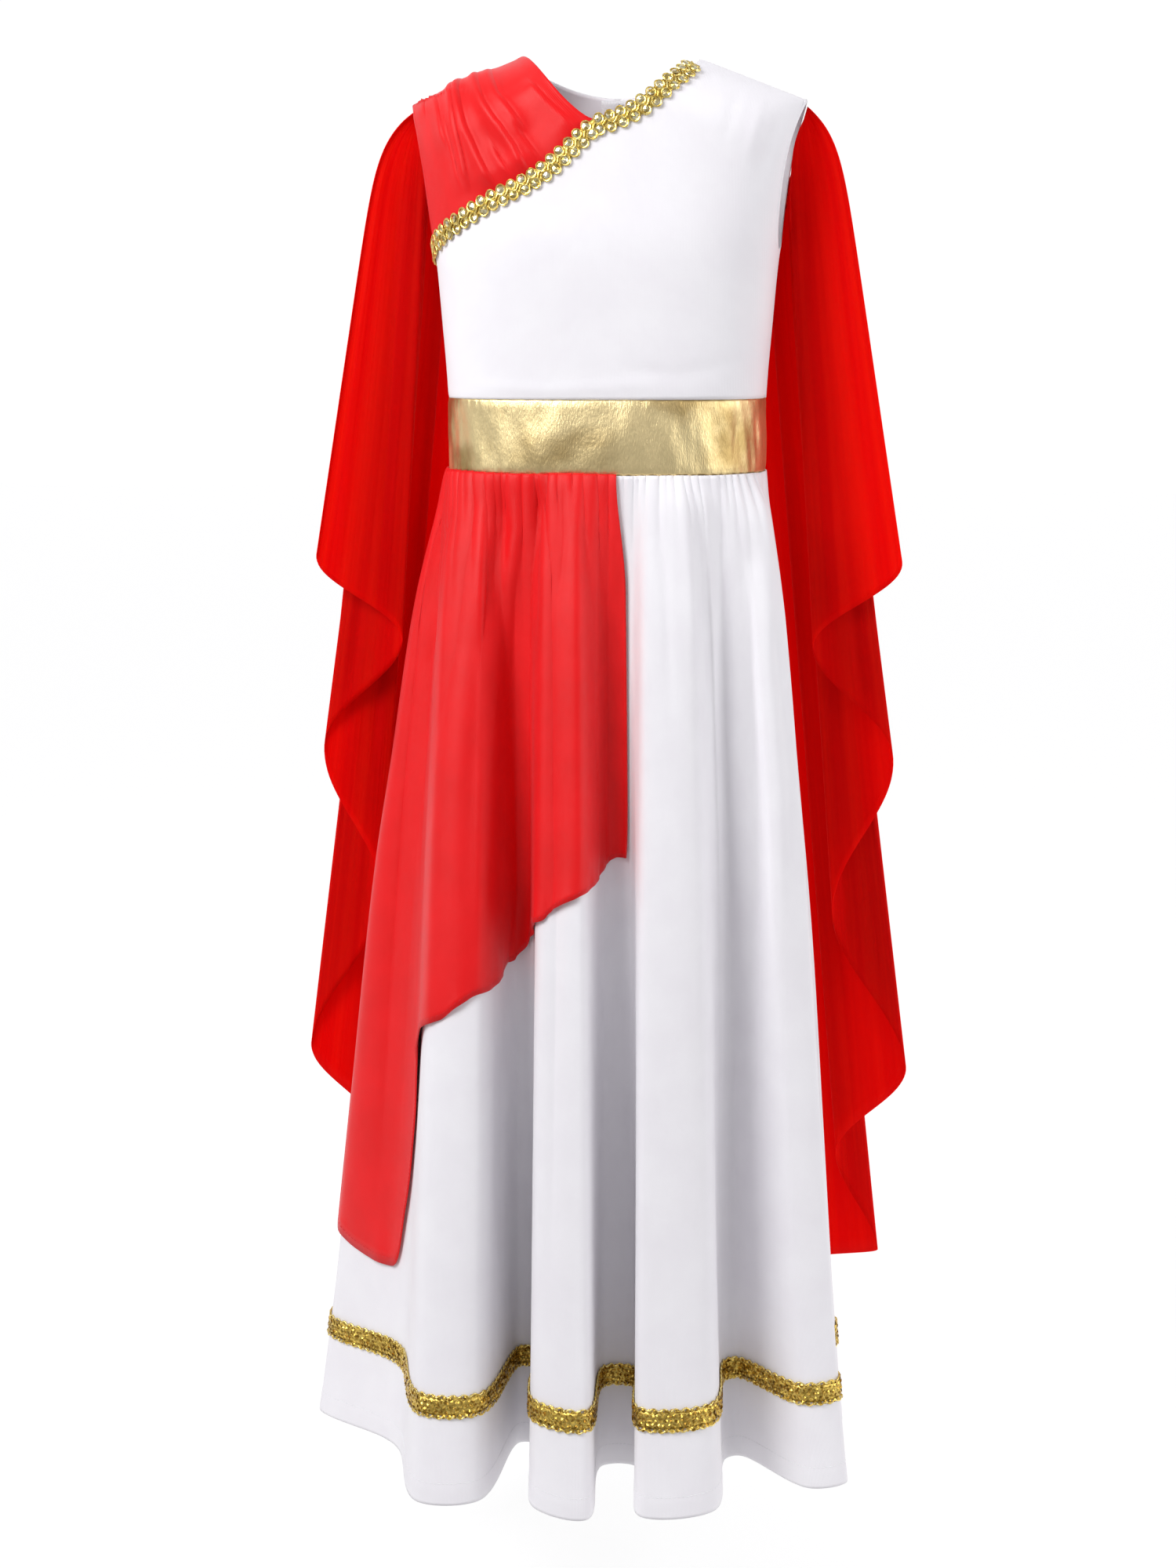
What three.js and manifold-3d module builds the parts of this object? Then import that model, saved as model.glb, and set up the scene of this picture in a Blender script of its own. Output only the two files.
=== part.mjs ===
// A child's sleeveless ankle-length toga costume, hollow as it is worn, with nobody in it.
// Millimetres, +Z up. The front faces -Y and the wearer's right side is -X.
// The origin lies between the shoulders at the height of the shoulder seams.
import * as THREE from 'three';
import { mergeVertices } from 'three/addons/utils/BufferGeometryUtils.js';
import Module from 'manifold-3d';

const { cos, sin, sqrt, abs, min, max, exp, acos, sign, PI } = Math;
const { lerp, clamp, degToRad, smoothstep } = THREE.MathUtils;
const QUARTER = PI / 2;

// Cloth
const WALL = 1.4;            // jersey, lame and braid
const CHIFFON = 1.1;         // the sheer drapes
const SEAM = 0.3;            // between two sewn edges
const LAYER_GAP = 0.8;       // between a layer and the one that it lies on
const BRAID_GAP = 1.1;       // between the diagonal braid and the strongly curved front

// Heights
const BAND_TOP = -236;
const WAIST_SEAM = -288;
const HEM = -1020;
const UNDERARM = -132;

// Shoulders, neck and armholes
const NECK_HALF = 64.5;
const NECK_POINT = -2;
const SHOULDER_SLOPE = 0.385;
const SHOULDER_ROUND = 45;   // radius over which the front and back turn into the shoulder
const BACK_NECK_DROP = 19;
const ARMHOLE = { top: -31, open: degToRad(17), spread: 4 };
const SQUARENESS = 0.77;     // exponent of the flattened oval body section
const BODY_MIDDLE = new THREE.Vector3(0, 0, -160);  // the bodice's outer side faces away from here
const NECK_ACROSS = 0.2292;  // place of the neck point across the body
const BRAID_END = 0.2482;    // place where the diagonal braid's middle meets the shoulder seam
const NECK_COLUMN_AT_BAND = 0.42;  // where the column from the neck point meets the waistband
const NECK_SLANT = 3;        // how soon a column turns from the neck's slant to an upright one
const BODY_COLUMNS = { braid: 20, braidEase: 1.4, neck: 6, shoulder: 9 };
const BODY_ROWS = 8;

// Body sections from the shoulders to the waist seam
const TORSO = [
  { z: 20, half: 148, depth: 66 },
  { z: -27, half: 140, depth: 71.5 },
  { z: -60, half: 133.5, depth: 75.5 },
  { z: -97, half: 127.5, depth: 80 },
  { z: UNDERARM, half: 121.5, depth: 84 },
  { z: -187, half: 116.5, depth: 82 },
  { z: BAND_TOP, half: 113, depth: 80 },
  { z: WAIST_SEAM, half: 113, depth: 80 },
];

// Middle line of the diagonal braid, from the right underarm to the left neck point: its distance down
// the cloth from the shoulder seam at each distance from the middle plane
const NECK_BRAID = [
  { x: -122, down: 137 },
  { x: -109, down: 130 },
  { x: -71, down: 123 },
  { x: -33, down: 118 },
  { x: 12, down: 93 },
  { x: 34, down: 74 },
  { x: 50, down: 54 },
  { x: 62, down: 34 },
  { x: 69, down: 4 },
];
const NECK_TRIM = { width: 15, first: -0.99, last: 0.228, columns: 26 };
const YOKE = {
  folds: 8, height: 3, fadeFrom: 0.62, fadeTo: 0.86, bottomAcross: 0.006, perFold: 4, rows: 8,
};

// Crinkles of the waistband: crossing waves that lie flat at its edges and beside the zip
const CRINKLE = { height: 0.7, waves: 23, sway: 5, swell: 9, slant: 4, plainTo: 0.1, fullFrom: 0.3 };
const BAND_COLUMNS = 60;
const BAND_HEIGHTS = [0, 1 / 3, 2 / 3, 1].map((share) => lerp(BAND_TOP - SEAM, WAIST_SEAM, share));

// Large folds of the skirt, counted from the centre back round by the wearer's right. Each row gives the
// crest at the hem in plan, its width along the girth and the angle at which it leaves the waist, in
// degrees from the centre front, and then the same for the valley after it.
const FOLDS = [
  { x: -42, y: 158, width: 30, at: -164, valleyX: -74, valleyY: 92, valleyWidth: 14, valleyAt: -149 },
  { x: -108, y: 144, width: 28, at: -134, valleyX: -110, valleyY: 84, valleyWidth: 12, valleyAt: -120 },
  { x: -160, y: 88, width: 26, at: -108, valleyX: -140, valleyY: 38, valleyWidth: 16, valleyAt: -99 },
  { x: -220, y: -14, width: 22, at: -89, valleyX: -153, valleyY: -76, valleyWidth: 24, valleyAt: -78 },
  { x: -94, y: -163, width: 40, at: -50, valleyX: -52, valleyY: -60, valleyWidth: 14, valleyAt: -18 },
  { x: -11, y: -170, width: 40, at: -7, valleyX: 21, valleyY: -88, valleyWidth: 26, valleyAt: 5 },
  { x: 72, y: -159, width: 50, at: 19, valleyX: 104, valleyY: -62, valleyWidth: 14, valleyAt: 39 },
  { x: 177, y: -98, width: 28, at: 63, valleyX: 150, valleyY: -36, valleyWidth: 16, valleyAt: 82 },
  { x: 178, y: 20, width: 24, at: 96, valleyX: 132, valleyY: 50, valleyWidth: 14, valleyAt: 110 },
  { x: 150, y: 98, width: 28, at: 124, valleyX: 92, valleyY: 90, valleyWidth: 14, valleyAt: 142 },
  { x: 48, y: 160, width: 30, at: 162, valleyX: 2, valleyY: 94, valleyWidth: 20, valleyAt: 180 },
];
const CREST_SPREAD = 0.3;    // how far a crest's two corners part at the waist, towards its neighbours
const VALLEY_SPREAD = 0.15;
const SKIRT_COLUMNS = 100;
const PLAN_STEPS = 40;       // from one corner of the hem's plan to the next
const GATHER = { height: 2.1, fade: 42, plainNearZip: 20 };

// How far a point has moved from the waist oval to the hem plan, by its share of the skirt's length
const FLARE = [
  { down: 0, crest: 0, valley: 0 },
  { down: 0.04, crest: 0.1, valley: 0.06 },
  { down: 0.14, crest: 0.26, valley: 0.19 },
  { down: 0.3, crest: 0.42, valley: 0.36 },
  { down: 0.45, crest: 0.56, valley: 0.5 },
  { down: 0.66, crest: 0.72, valley: 0.68 },
  { down: 0.87, crest: 0.88, valley: 0.87 },
  { down: 1, crest: 1, valley: 1 },
];
const HEM_BRAID = { bottom: 62, width: 18 };
const SKIRT_ROWS = [
  WAIST_SEAM - SEAM, -295, -305, -322, -350, -395, -460, -550, -660, -800,
  HEM + HEM_BRAID.bottom + HEM_BRAID.width, HEM + HEM_BRAID.bottom, HEM,
];

// Hem of the red over-skirt, by the angle at which the cloth leaves the waist
const OVERLAY_HEM = [
  { at: -180, z: -575 },
  { at: -149, z: -640 },
  { at: -120, z: -730 },
  { at: -99, z: -835 },
  { at: -89, z: -862 },
  { at: -78, z: -878 },
  { at: -66, z: -705 },
  { at: -50, z: -664 },
  { at: -18, z: -628 },
  { at: -9, z: -590 },
  { at: 5, z: -558 },
];
const OVERLAY_ROWS = [0, 0.025, 0.07, 0.14, 0.25, 0.4, 0.58, 0.78, 1];
const OVERLAY_EDGE = 5;      // waist angle of the free edge
const OVERLAY_GAP = 1.6;

// Fold lines of a drape, in order from its free front edge. Even lines are outer folds, odd ones inner:
// its distance from the middle plane and its place front to back, at the hem and at underarm height.
const DRAPE_LINES = [
  { hem: -354, x: 214, y: 14, topX: 177, topY: 5 },
  { hem: -420, x: 150, y: 26, topX: 131, topY: 14 },
  { hem: -500, x: 210, y: 38, topX: 157, topY: 24 },
  { hem: -630, x: 167, y: 54, topX: 128, topY: 34 },
  { hem: -750, x: 225, y: 68, topX: 144, topY: 44 },
  { hem: -830, x: 172, y: 84, topX: 110, topY: 56 },
  { hem: -912, x: 206, y: 98, topX: 118, topY: 66 },
  { hem: -926, x: 158, y: 112, topX: 84, topY: 78 },
];
const DRAPE_STEPS = [0, 0.12, 0.35, 0.65, 0.88];
const DRAPE_ROWS = [0, 0.025, 0.06, 0.11, 0.18, 0.28, 0.4, 0.52, 0.65, 0.82, 1];
const DRAPE_TOP = { first: -34, last: -100, fall: 18, fallLast: 34, stand: 2.7 };
const RIGHT_DRAPE = { ease: 1.02, spread: 0.27 };   // it hangs further out, more so towards the back

// Zip
const TAPE = { end: -352, thick: 1.1, inside: 2.2 };
const SLIDER = { height: -30, width: 7, length: 10, thick: 1.6, cheek: 1.1, gapHalf: 2.3, stand: 0.5 };
const PIN = { out: 3.8, radius: 0.6, cheekRadius: 1.2 };
const TAB = { width: 3.6, length: 14, thick: 1, barrel: 1.7, bore: 1 };

const PAINT = {
  white: { color: 0xefeef2, roughness: 0.85, metalness: 0 },
  red: { color: 0xd8121c, roughness: 0.7, metalness: 0 },
  sheer: { color: 0xd00a08, roughness: 0.75, metalness: 0 },
  lame: { color: 0xd9c48a, roughness: 0.35, metalness: 0.8 },
  braid: { color: 0xd8bb45, roughness: 0.35, metalness: 0.7 },
  tape: { color: 0xe8e8ea, roughness: 0.9, metalness: 0 },
  metal: { color: 0xd6d6d8, roughness: 0.35, metalness: 0.9 },
};

const FORWARD = new THREE.Vector3(0, -1, 0);
const BACKWARD = new THREE.Vector3(0, 1, 0);
const LEFT = new THREE.Vector3(1, 0, 0);
const RIGHT = new THREE.Vector3(-1, 0, 0);
const STAY = new THREE.Vector3();

// A value that settles when next is applied again and again
function settle(start, next) {
  let value = start;
  for (let pass = 0; pass < 12; pass += 1) value = next(value);
  return value;
}

// A smooth curve through one column of a table, read at any place along another
function curve(rows, along, value) {
  const at = rows.map((row) => row[along]);
  const to = rows.map((row) => row[value]);
  const rising = at[at.length - 1] > at[0] ? 1 : -1;
  const slope = at.map((_, i) => {
    const before = max(i - 1, 0);
    const after = min(i + 1, at.length - 1);
    return (to[after] - to[before]) / (at[after] - at[before]);
  });
  return (place) => {
    let i = 0;
    while (i < at.length - 2 && (place - at[i + 1]) * rising > 0) i += 1;
    const span = at[i + 1] - at[i];
    const t = clamp((place - at[i]) / span, 0, 1);
    const stay = t * t * (3 - 2 * t);
    return lerp(to[i], to[i + 1], stay)
      + span * (slope[i] * t * (1 - t) * (1 - t) - slope[i + 1] * t * t * (1 - t));
  };
}

const bodyHalf = curve(TORSO, 'z', 'half');
const bodyDepth = curve(TORSO, 'z', 'depth');
const braidDrop = curve(NECK_BRAID, 'x', 'down');

function flatten(value) {
  return sign(value) * abs(value) ** SQUARENESS;
}

function shoulderHeight(x) {
  return NECK_POINT - (abs(x) - NECK_HALF) * SHOULDER_SLOPE;
}

// Angle from the middle plane: a quarter turn at the side seam, and less along the armhole's edge,
// where the cloth beside the edge follows it
function bodyAngle(across, z) {
  const middle = (ARMHOLE.top + UNDERARM) / 2;
  const reach = (z - middle) / ((ARMHOLE.top - UNDERARM) / 2);
  const open = ARMHOLE.open * sqrt(max(0, 1 - reach * reach));
  return across * QUARTER - sign(across) * open * abs(across) ** ARMHOLE.spread;
}

function bodyX(across, z) {
  return bodyHalf(z) * flatten(sin(bodyAngle(across, z)));
}

// A point on the body: across runs from -1 to 1 between the side edges, down is the distance from the
// shoulder seam along the cloth, positive on the front and negative on the back.
function bodyPoint(across, down) {
  const turn = clamp(down / SHOULDER_ROUND, -QUARTER, QUARTER);
  const below = SHOULDER_ROUND * (1 - cos(turn)) + max(0, abs(down) - SHOULDER_ROUND * QUARTER);
  const z = settle(shoulderHeight(0) - below, (height) => shoulderHeight(bodyX(across, height)) - below);
  const y = -sin(turn) * bodyDepth(z) * flatten(cos(bodyAngle(across, z)));
  return new THREE.Vector3(bodyX(across, z), y, z);
}

function downTo(across, z) {
  const below = max(0, shoulderHeight(bodyX(across, z)) - z);
  if (below >= SHOULDER_ROUND) return SHOULDER_ROUND * QUARTER + below - SHOULDER_ROUND;
  return SHOULDER_ROUND * acos(1 - below / SHOULDER_ROUND);
}

// A point of a surface with its outward normal, found from two short steps along the surface
function surfacePoint(surface, u, v, stepU, stepV) {
  const alongU = surface(u + stepU, v).sub(surface(u - stepU, v));
  const alongV = surface(u, v + stepV).sub(surface(u, v - stepV));
  return { point: surface(u, v), normal: alongU.cross(alongV).normalize() };
}

function bodyCell(across, down) {
  const cell = surfacePoint(bodyPoint, across, down, 0.004, 0.4);
  cell.normal.negate();
  if (cell.normal.dot(cell.point.clone().sub(BODY_MIDDLE)) < 0) cell.normal.negate();
  return cell;
}

// Columns whose first and last ones are moved sideways by half a seam gap
function withSeams(columns, firstWay, lastWay) {
  const moved = (column, way) => column.map(({ point, normal }) => ({
    point: point.clone().addScaledVector(way, SEAM / 2),
    normal,
  }));
  return [moved(columns[0], firstWay), ...columns.slice(1, -1), moved(columns.at(-1), lastWay)];
}

// One closed wall through columns of cells: its inner face is lifted off the cells, its outer face
// lies a wall further out, and rims close it along all four edges. Columns have equal lengths.
function wallGeometry(columns, lift = 0, thick = WALL) {
  const rows = columns[0].length;
  const faceSize = columns.length * rows;
  const positions = [];
  for (const distance of [lift + thick, lift]) {
    for (const column of columns) {
      for (const { point, normal } of column) {
        positions.push(...point.clone().addScaledVector(normal, distance).toArray());
      }
    }
  }
  const index = [];
  const quad = (a, b, c, d) => index.push(a, b, c, a, c, d);
  const outer = (i, j) => i * rows + j;
  const inner = (i, j) => faceSize + i * rows + j;
  const last = columns.length - 1;
  for (let i = 0; i < last; i += 1) {
    for (let j = 0; j < rows - 1; j += 1) {
      quad(outer(i, j), outer(i, j + 1), outer(i + 1, j + 1), outer(i + 1, j));
      index.push(inner(i, j), inner(i + 1, j + 1), inner(i, j + 1));
      index.push(inner(i, j), inner(i + 1, j), inner(i + 1, j + 1));
    }
    quad(outer(i, 0), outer(i + 1, 0), inner(i + 1, 0), inner(i, 0));
    quad(outer(i + 1, rows - 1), outer(i, rows - 1), inner(i, rows - 1), inner(i + 1, rows - 1));
  }
  for (let j = 0; j < rows - 1; j += 1) {
    quad(outer(0, j + 1), outer(0, j), inner(0, j), inner(0, j + 1));
    quad(outer(last, j), outer(last, j + 1), inner(last, j + 1), inner(last, j));
  }
  const geometry = new THREE.BufferGeometry();
  geometry.setAttribute('position', new THREE.Float32BufferAttribute(positions, 3));
  geometry.setIndex(index);
  geometry.computeVertexNormals();
  return geometry;
}

const garment = new THREE.Group();

function add(name, geometry, paint) {
  const material = new THREE.MeshStandardMaterial({ side: THREE.DoubleSide, ...paint });
  const mesh = new THREE.Mesh(geometry, material);
  mesh.name = name;
  garment.add(mesh);
  return mesh;
}

// A column of cells from one place to another, which leaves the neck edge at a slant
function bodyColumn(top, bottom) {
  return Array.from({ length: BODY_ROWS }, (_, j) => {
    const share = j / (BODY_ROWS - 1);
    const across = lerp(top.across, bottom.across, 1 - (1 - share) ** NECK_SLANT);
    return bodyCell(across, lerp(top.down, bottom.down, share));
  });
}

function bandPlace(across) {
  return { across, down: downTo(across, BAND_TOP) };
}

// Distance from the shoulder seam down to the middle of the braid
function braidDown(across) {
  return settle(60, (down) => braidDrop(bodyPoint(across, down).x));
}

function bodiceFront() {
  const columns = [];
  for (let i = 0; i < BODY_COLUMNS.braid; i += 1) {
    const share = i / BODY_COLUMNS.braid;
    const across = lerp(-1, BRAID_END, 1 - (1 - share) ** BODY_COLUMNS.braidEase);
    columns.push(bodyColumn(
      { across, down: braidDown(across) + SEAM },
      bandPlace(lerp(-1, NECK_COLUMN_AT_BAND, share)),
    ));
  }
  for (let i = 0; i <= BODY_COLUMNS.shoulder; i += 1) {
    const share = i / BODY_COLUMNS.shoulder;
    columns.push(bodyColumn(
      { across: lerp(BRAID_END, 1, share), down: SEAM / 2 },
      bandPlace(lerp(NECK_COLUMN_AT_BAND, 1, share)),
    ));
  }
  return wallGeometry(withSeams(columns, FORWARD, FORWARD));
}

function backNeckDown(across) {
  const height = (x) => NECK_POINT - BACK_NECK_DROP * (1 - (x / NECK_HALF) ** 2);
  const z = settle(NECK_POINT, (from) => height(bodyX(across, from)));
  return max(SEAM / 2, downTo(across, z));
}

// Half of the back, side is 1 for the wearer's left. A place on the back has a negative distance down.
function bodiceBack(side) {
  const columns = [];
  const push = (top, bottom) => columns.push(bodyColumn(
    { across: side * top.across, down: -top.down },
    { across: side * bottom.across, down: -bottom.down },
  ));
  for (let i = 0; i < BODY_COLUMNS.neck; i += 1) {
    const share = i / BODY_COLUMNS.neck;
    const across = NECK_ACROSS * sin(share * QUARTER);
    push({ across, down: backNeckDown(across) }, bandPlace(lerp(0, NECK_COLUMN_AT_BAND, share)));
  }
  for (let i = 0; i <= BODY_COLUMNS.shoulder; i += 1) {
    const share = i / BODY_COLUMNS.shoulder;
    const across = lerp(NECK_ACROSS, 1, share);
    push({ across, down: SEAM / 2 }, bandPlace(lerp(NECK_COLUMN_AT_BAND, 1, share)));
  }
  const seamed = withSeams(columns, side > 0 ? LEFT : RIGHT, BACKWARD);
  return wallGeometry(side > 0 ? seamed.reverse() : seamed);
}

// Soft pleats that run from the shoulder seam to the braid and die out under it
function yokeFold(share, down) {
  const wave = 0.5 - 0.5 * cos(share * YOKE.folds * 2 * PI);
  const drift = 1 - 0.3 * cos(share * 5 + 1);
  const fade = 1 - smoothstep(down, YOKE.fadeFrom, YOKE.fadeTo);
  const growth = 0.35 + 0.65 * sin(min(down * 1.6, 1) * QUARTER);
  return YOKE.height * wave * drift * fade * growth;
}

function yoke() {
  const columns = [];
  const count = YOKE.folds * YOKE.perFold;
  for (let i = 0; i <= count; i += 1) {
    const share = i / count;
    const topAcross = lerp(-1, -NECK_ACROSS, share);
    const bottomAcross = lerp(-1, YOKE.bottomAcross, share);
    const bottomDown = braidDown(bottomAcross) - SEAM;
    const column = [];
    for (let j = 0; j < YOKE.rows; j += 1) {
      const down = j / (YOKE.rows - 1);
      const cell = bodyCell(lerp(topAcross, bottomAcross, down), lerp(SEAM / 2, bottomDown, down));
      cell.point.addScaledVector(cell.normal, yokeFold(share, down));
      column.push(cell);
    }
    columns.push(column);
  }
  return wallGeometry(columns);
}

// The place on the body that lies a short way off another, in the surface
function moveOnBody(across, down, way) {
  const step = 0.01;
  const u = bodyPoint(across + step, down).sub(bodyPoint(across - step, down)).divideScalar(2 * step);
  const v = bodyPoint(across, down + 1).sub(bodyPoint(across, down - 1)).divideScalar(2);
  const uv = u.dot(v);
  const area = u.lengthSq() * v.lengthSq() - uv * uv;
  const alongU = (u.dot(way) * v.lengthSq() - v.dot(way) * uv) / area;
  const alongV = (v.dot(way) * u.lengthSq() - u.dot(way) * uv) / area;
  return { across: across + alongU, down: down + alongV };
}

function neckBraid() {
  const steps = NECK_TRIM.columns;
  const middle = Array.from({ length: steps + 1 }, (_, i) => {
    const across = lerp(NECK_TRIM.first, NECK_TRIM.last, i / steps);
    return { across, down: braidDown(across) };
  });
  const columns = middle.map(({ across, down }, i) => {
    const before = middle[max(i - 1, 0)];
    const after = middle[min(i + 1, steps)];
    const way = bodyPoint(after.across, after.down).sub(bodyPoint(before.across, before.down));
    const sideways = bodyCell(across, down).normal.cross(way).setLength(NECK_TRIM.width);
    return [0.5, 0.25, 0, -0.25, -0.5].map((share) => {
      const place = moveOnBody(across, down, sideways.clone().multiplyScalar(share));
      return bodyCell(place.across, place.down);
    });
  });
  return wallGeometry(columns, WALL + BRAID_GAP, WALL);
}

// Waist
function waistPoint(angle, z) {
  return new THREE.Vector3(bodyHalf(z) * flatten(sin(angle)), -bodyDepth(z) * flatten(cos(angle)), z);
}

function bandCrinkle(angle, z) {
  const height = (z - WAIST_SEAM) / (BAND_TOP - WAIST_SEAM);
  const wave = sin(angle * CRINKLE.waves + 2 * sin(angle * CRINKLE.sway));
  const swell = sin(angle * CRINKLE.swell + height * CRINKLE.slant);
  const besideZip = smoothstep(PI - abs(angle), CRINKLE.plainTo, CRINKLE.fullFrom);
  return CRINKLE.height * wave * swell * sin(height * PI) * besideZip;
}

function waistband() {
  const columns = [];
  for (let i = 0; i <= BAND_COLUMNS; i += 1) {
    const angle = lerp(-PI, PI, i / BAND_COLUMNS);
    columns.push(BAND_HEIGHTS.map((z) => {
      const cell = surfacePoint(waistPoint, angle, z, 0.01, 0.5);
      cell.point.addScaledVector(cell.normal, bandCrinkle(angle, z));
      return cell;
    }));
  }
  return wallGeometry(withSeams(columns, RIGHT, LEFT));
}

// Skirt
// Corners of the hem's plan: two at each crest and two at each valley, a width apart along the girth
function foldKnots() {
  const knots = [];
  FOLDS.forEach((fold, i) => {
    const before = FOLDS.at(i - 1);
    const after = FOLDS[(i + 1) % FOLDS.length];
    const lastAt = i === 0 ? before.valleyAt - 360 : before.valleyAt;
    const nextAt = i === FOLDS.length - 1 ? after.at + 360 : after.at;
    const crestWay = new THREE.Vector2(fold.valleyX - before.valleyX, fold.valleyY - before.valleyY);
    const valleyWay = new THREE.Vector2(after.x - fold.x, after.y - fold.y);
    crestWay.setLength(fold.width / 2);
    valleyWay.setLength(fold.valleyWidth / 2);
    const crest = new THREE.Vector2(fold.x, fold.y);
    const valley = new THREE.Vector2(fold.valleyX, fold.valleyY);
    const push = (middle, way, at, share) => {
      const { x, y } = middle.clone().add(way);
      knots.push({ x, y, at, crest: share });
    };
    push(crest, crestWay.clone().negate(), lerp(fold.at, lastAt, CREST_SPREAD), 1);
    push(crest, crestWay, lerp(fold.at, fold.valleyAt, CREST_SPREAD), 1);
    push(valley, valleyWay.clone().negate(), lerp(fold.valleyAt, fold.at, VALLEY_SPREAD), 0);
    push(valley, valleyWay, lerp(fold.valleyAt, nextAt, VALLEY_SPREAD), 0);
  });
  return knots;
}

// The hem's plan in fine steps from the centre back all round to the centre back: place at the hem,
// waist angle, how much of a crest it is, and the cost, which is the mean of the shares of the
// waist and of the hem that lie behind it
function finePlan() {
  const knots = foldKnots();
  const count = knots.length;
  const corners = knots.map(({ x, y }) => new THREE.Vector3(x, y, 0));
  const path = new THREE.CatmullRomCurve3(corners, true, 'centripetal');
  const fine = [];
  for (let i = 0; i <= count * PLAN_STEPS; i += 1) {
    const place = i / PLAN_STEPS + count - 1.5;
    const index = Math.floor(place) % count;
    const share = place - Math.floor(place);
    const from = knots[index];
    const to = knots[(index + 1) % count];
    const toAt = to.at + (to.at < from.at - 180 ? 360 : 0);
    const at = lerp(from.at, toAt, share);
    fine.push({
      hem: path.getPoint((place / count) % 1),
      at: i < 1.5 * PLAN_STEPS ? at - 360 : at,
      crest: lerp(from.crest, to.crest, smoothstep(share, 0, 1)),
    });
  }
  let length = 0;
  fine.forEach((spot, i) => {
    if (i > 0) length += spot.hem.distanceTo(fine[i - 1].hem);
    spot.length = length;
  });
  for (const spot of fine) spot.cost = (spot.length / length + (spot.at + 180) / 360) / 2;
  return fine;
}

// The columns of the skirt, at even steps of cost
function skirtPlan() {
  const fine = finePlan();
  const columns = [];
  let k = 0;
  for (let i = 0; i <= SKIRT_COLUMNS; i += 1) {
    while (k < fine.length - 2 && fine[k + 1].cost < i / SKIRT_COLUMNS) k += 1;
    const share = clamp((i / SKIRT_COLUMNS - fine[k].cost) / (fine[k + 1].cost - fine[k].cost), 0, 1);
    columns.push({
      hem: fine[k].hem.clone().lerp(fine[k + 1].hem, share),
      at: lerp(fine[k].at, fine[k + 1].at, share),
      crest: lerp(fine[k].crest, fine[k + 1].crest, share),
    });
  }
  return columns;
}

const crestFlare = curve(FLARE, 'down', 'crest');
const valleyFlare = curve(FLARE, 'down', 'valley');

function skirtPoint(column, z) {
  const down = (WAIST_SEAM - z) / (WAIST_SEAM - HEM);
  const flare = lerp(valleyFlare(down), crestFlare(down), column.crest);
  const waist = waistPoint(degToRad(column.at), WAIST_SEAM).setZ(0);
  return waist.lerp(column.hem, flare).setZ(z);
}

// The whole skirt as a grid of cells, with small gathers that fade below the waist seam
function skirtGrid() {
  const plan = skirtPlan();
  const plain = plan.map((column) => SKIRT_ROWS.map((z) => skirtPoint(column, z)));
  const last = plan.length - 1;
  const before = (i) => (i === 0 ? last - 1 : i - 1);
  const after = (i) => (i === last ? 1 : i + 1);
  return plan.map((column, i) => SKIRT_ROWS.map((z, j) => {
    const girth = plain[after(i)][j].clone().sub(plain[before(i)][j]);
    const fall = plain[i][min(j + 1, SKIRT_ROWS.length - 1)].clone().sub(plain[i][max(j - 1, 0)]);
    const normal = fall.cross(girth);
    if (j === 0) normal.setZ(0);
    normal.normalize();
    const fromZip = 180 - abs(column.at);
    const gather = GATHER.height * exp((z - WAIST_SEAM) / GATHER.fade)
      * smoothstep(fromZip, GATHER.plainNearZip * 0.4, GATHER.plainNearZip);
    const point = plain[i][j].clone().addScaledVector(normal, i % 2 ? gather : -gather);
    return { point, normal, at: column.at };
  }));
}

const skirt = skirtGrid();
const sideRight = skirt.findIndex((column) => column[0].at > -90);
const sideLeft = skirt.findIndex((column) => column[0].at > 90);

function girthDirection(i) {
  const a = skirt[max(i - 1, 0)][0].point;
  const b = skirt[min(i + 1, skirt.length - 1)][0].point;
  return b.clone().sub(a).setZ(0).normalize();
}

function skirtPanel(from, to) {
  const columns = skirt.slice(from, to + 1);
  return wallGeometry(withSeams(columns, girthDirection(from), girthDirection(to).negate()));
}

// A cell between two rows of a column, at a given height
function cellAtHeight(column, z) {
  const j = clamp(column.findIndex(({ point }) => point.z < z), 1, column.length - 1);
  const above = column[j - 1];
  const below = column[j];
  const share = (z - above.point.z) / (below.point.z - above.point.z);
  return {
    point: above.point.clone().lerp(below.point, share),
    normal: above.normal.clone().lerp(below.normal, share).normalize(),
  };
}

function hemBraid() {
  const columns = skirt.map((column) => column.slice(-3, -1));
  return wallGeometry(withSeams(columns, RIGHT, LEFT), WALL + LAYER_GAP, WALL);
}

// The over-skirt lies on the skirt from its free front edge back to the centre back
const overlayHem = curve(OVERLAY_HEM, 'at', 'z');

function overlay() {
  const last = skirt.findIndex((column) => column[0].at >= OVERLAY_EDGE);
  const columns = skirt.slice(0, last + 1).map((column) => {
    const hem = overlayHem(column[0].at);
    return OVERLAY_ROWS.map((down) => cellAtHeight(column, lerp(WAIST_SEAM - SEAM, hem, down)));
  });
  return wallGeometry(withSeams(columns, RIGHT, STAY), WALL + OVERLAY_GAP, WALL);
}

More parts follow.
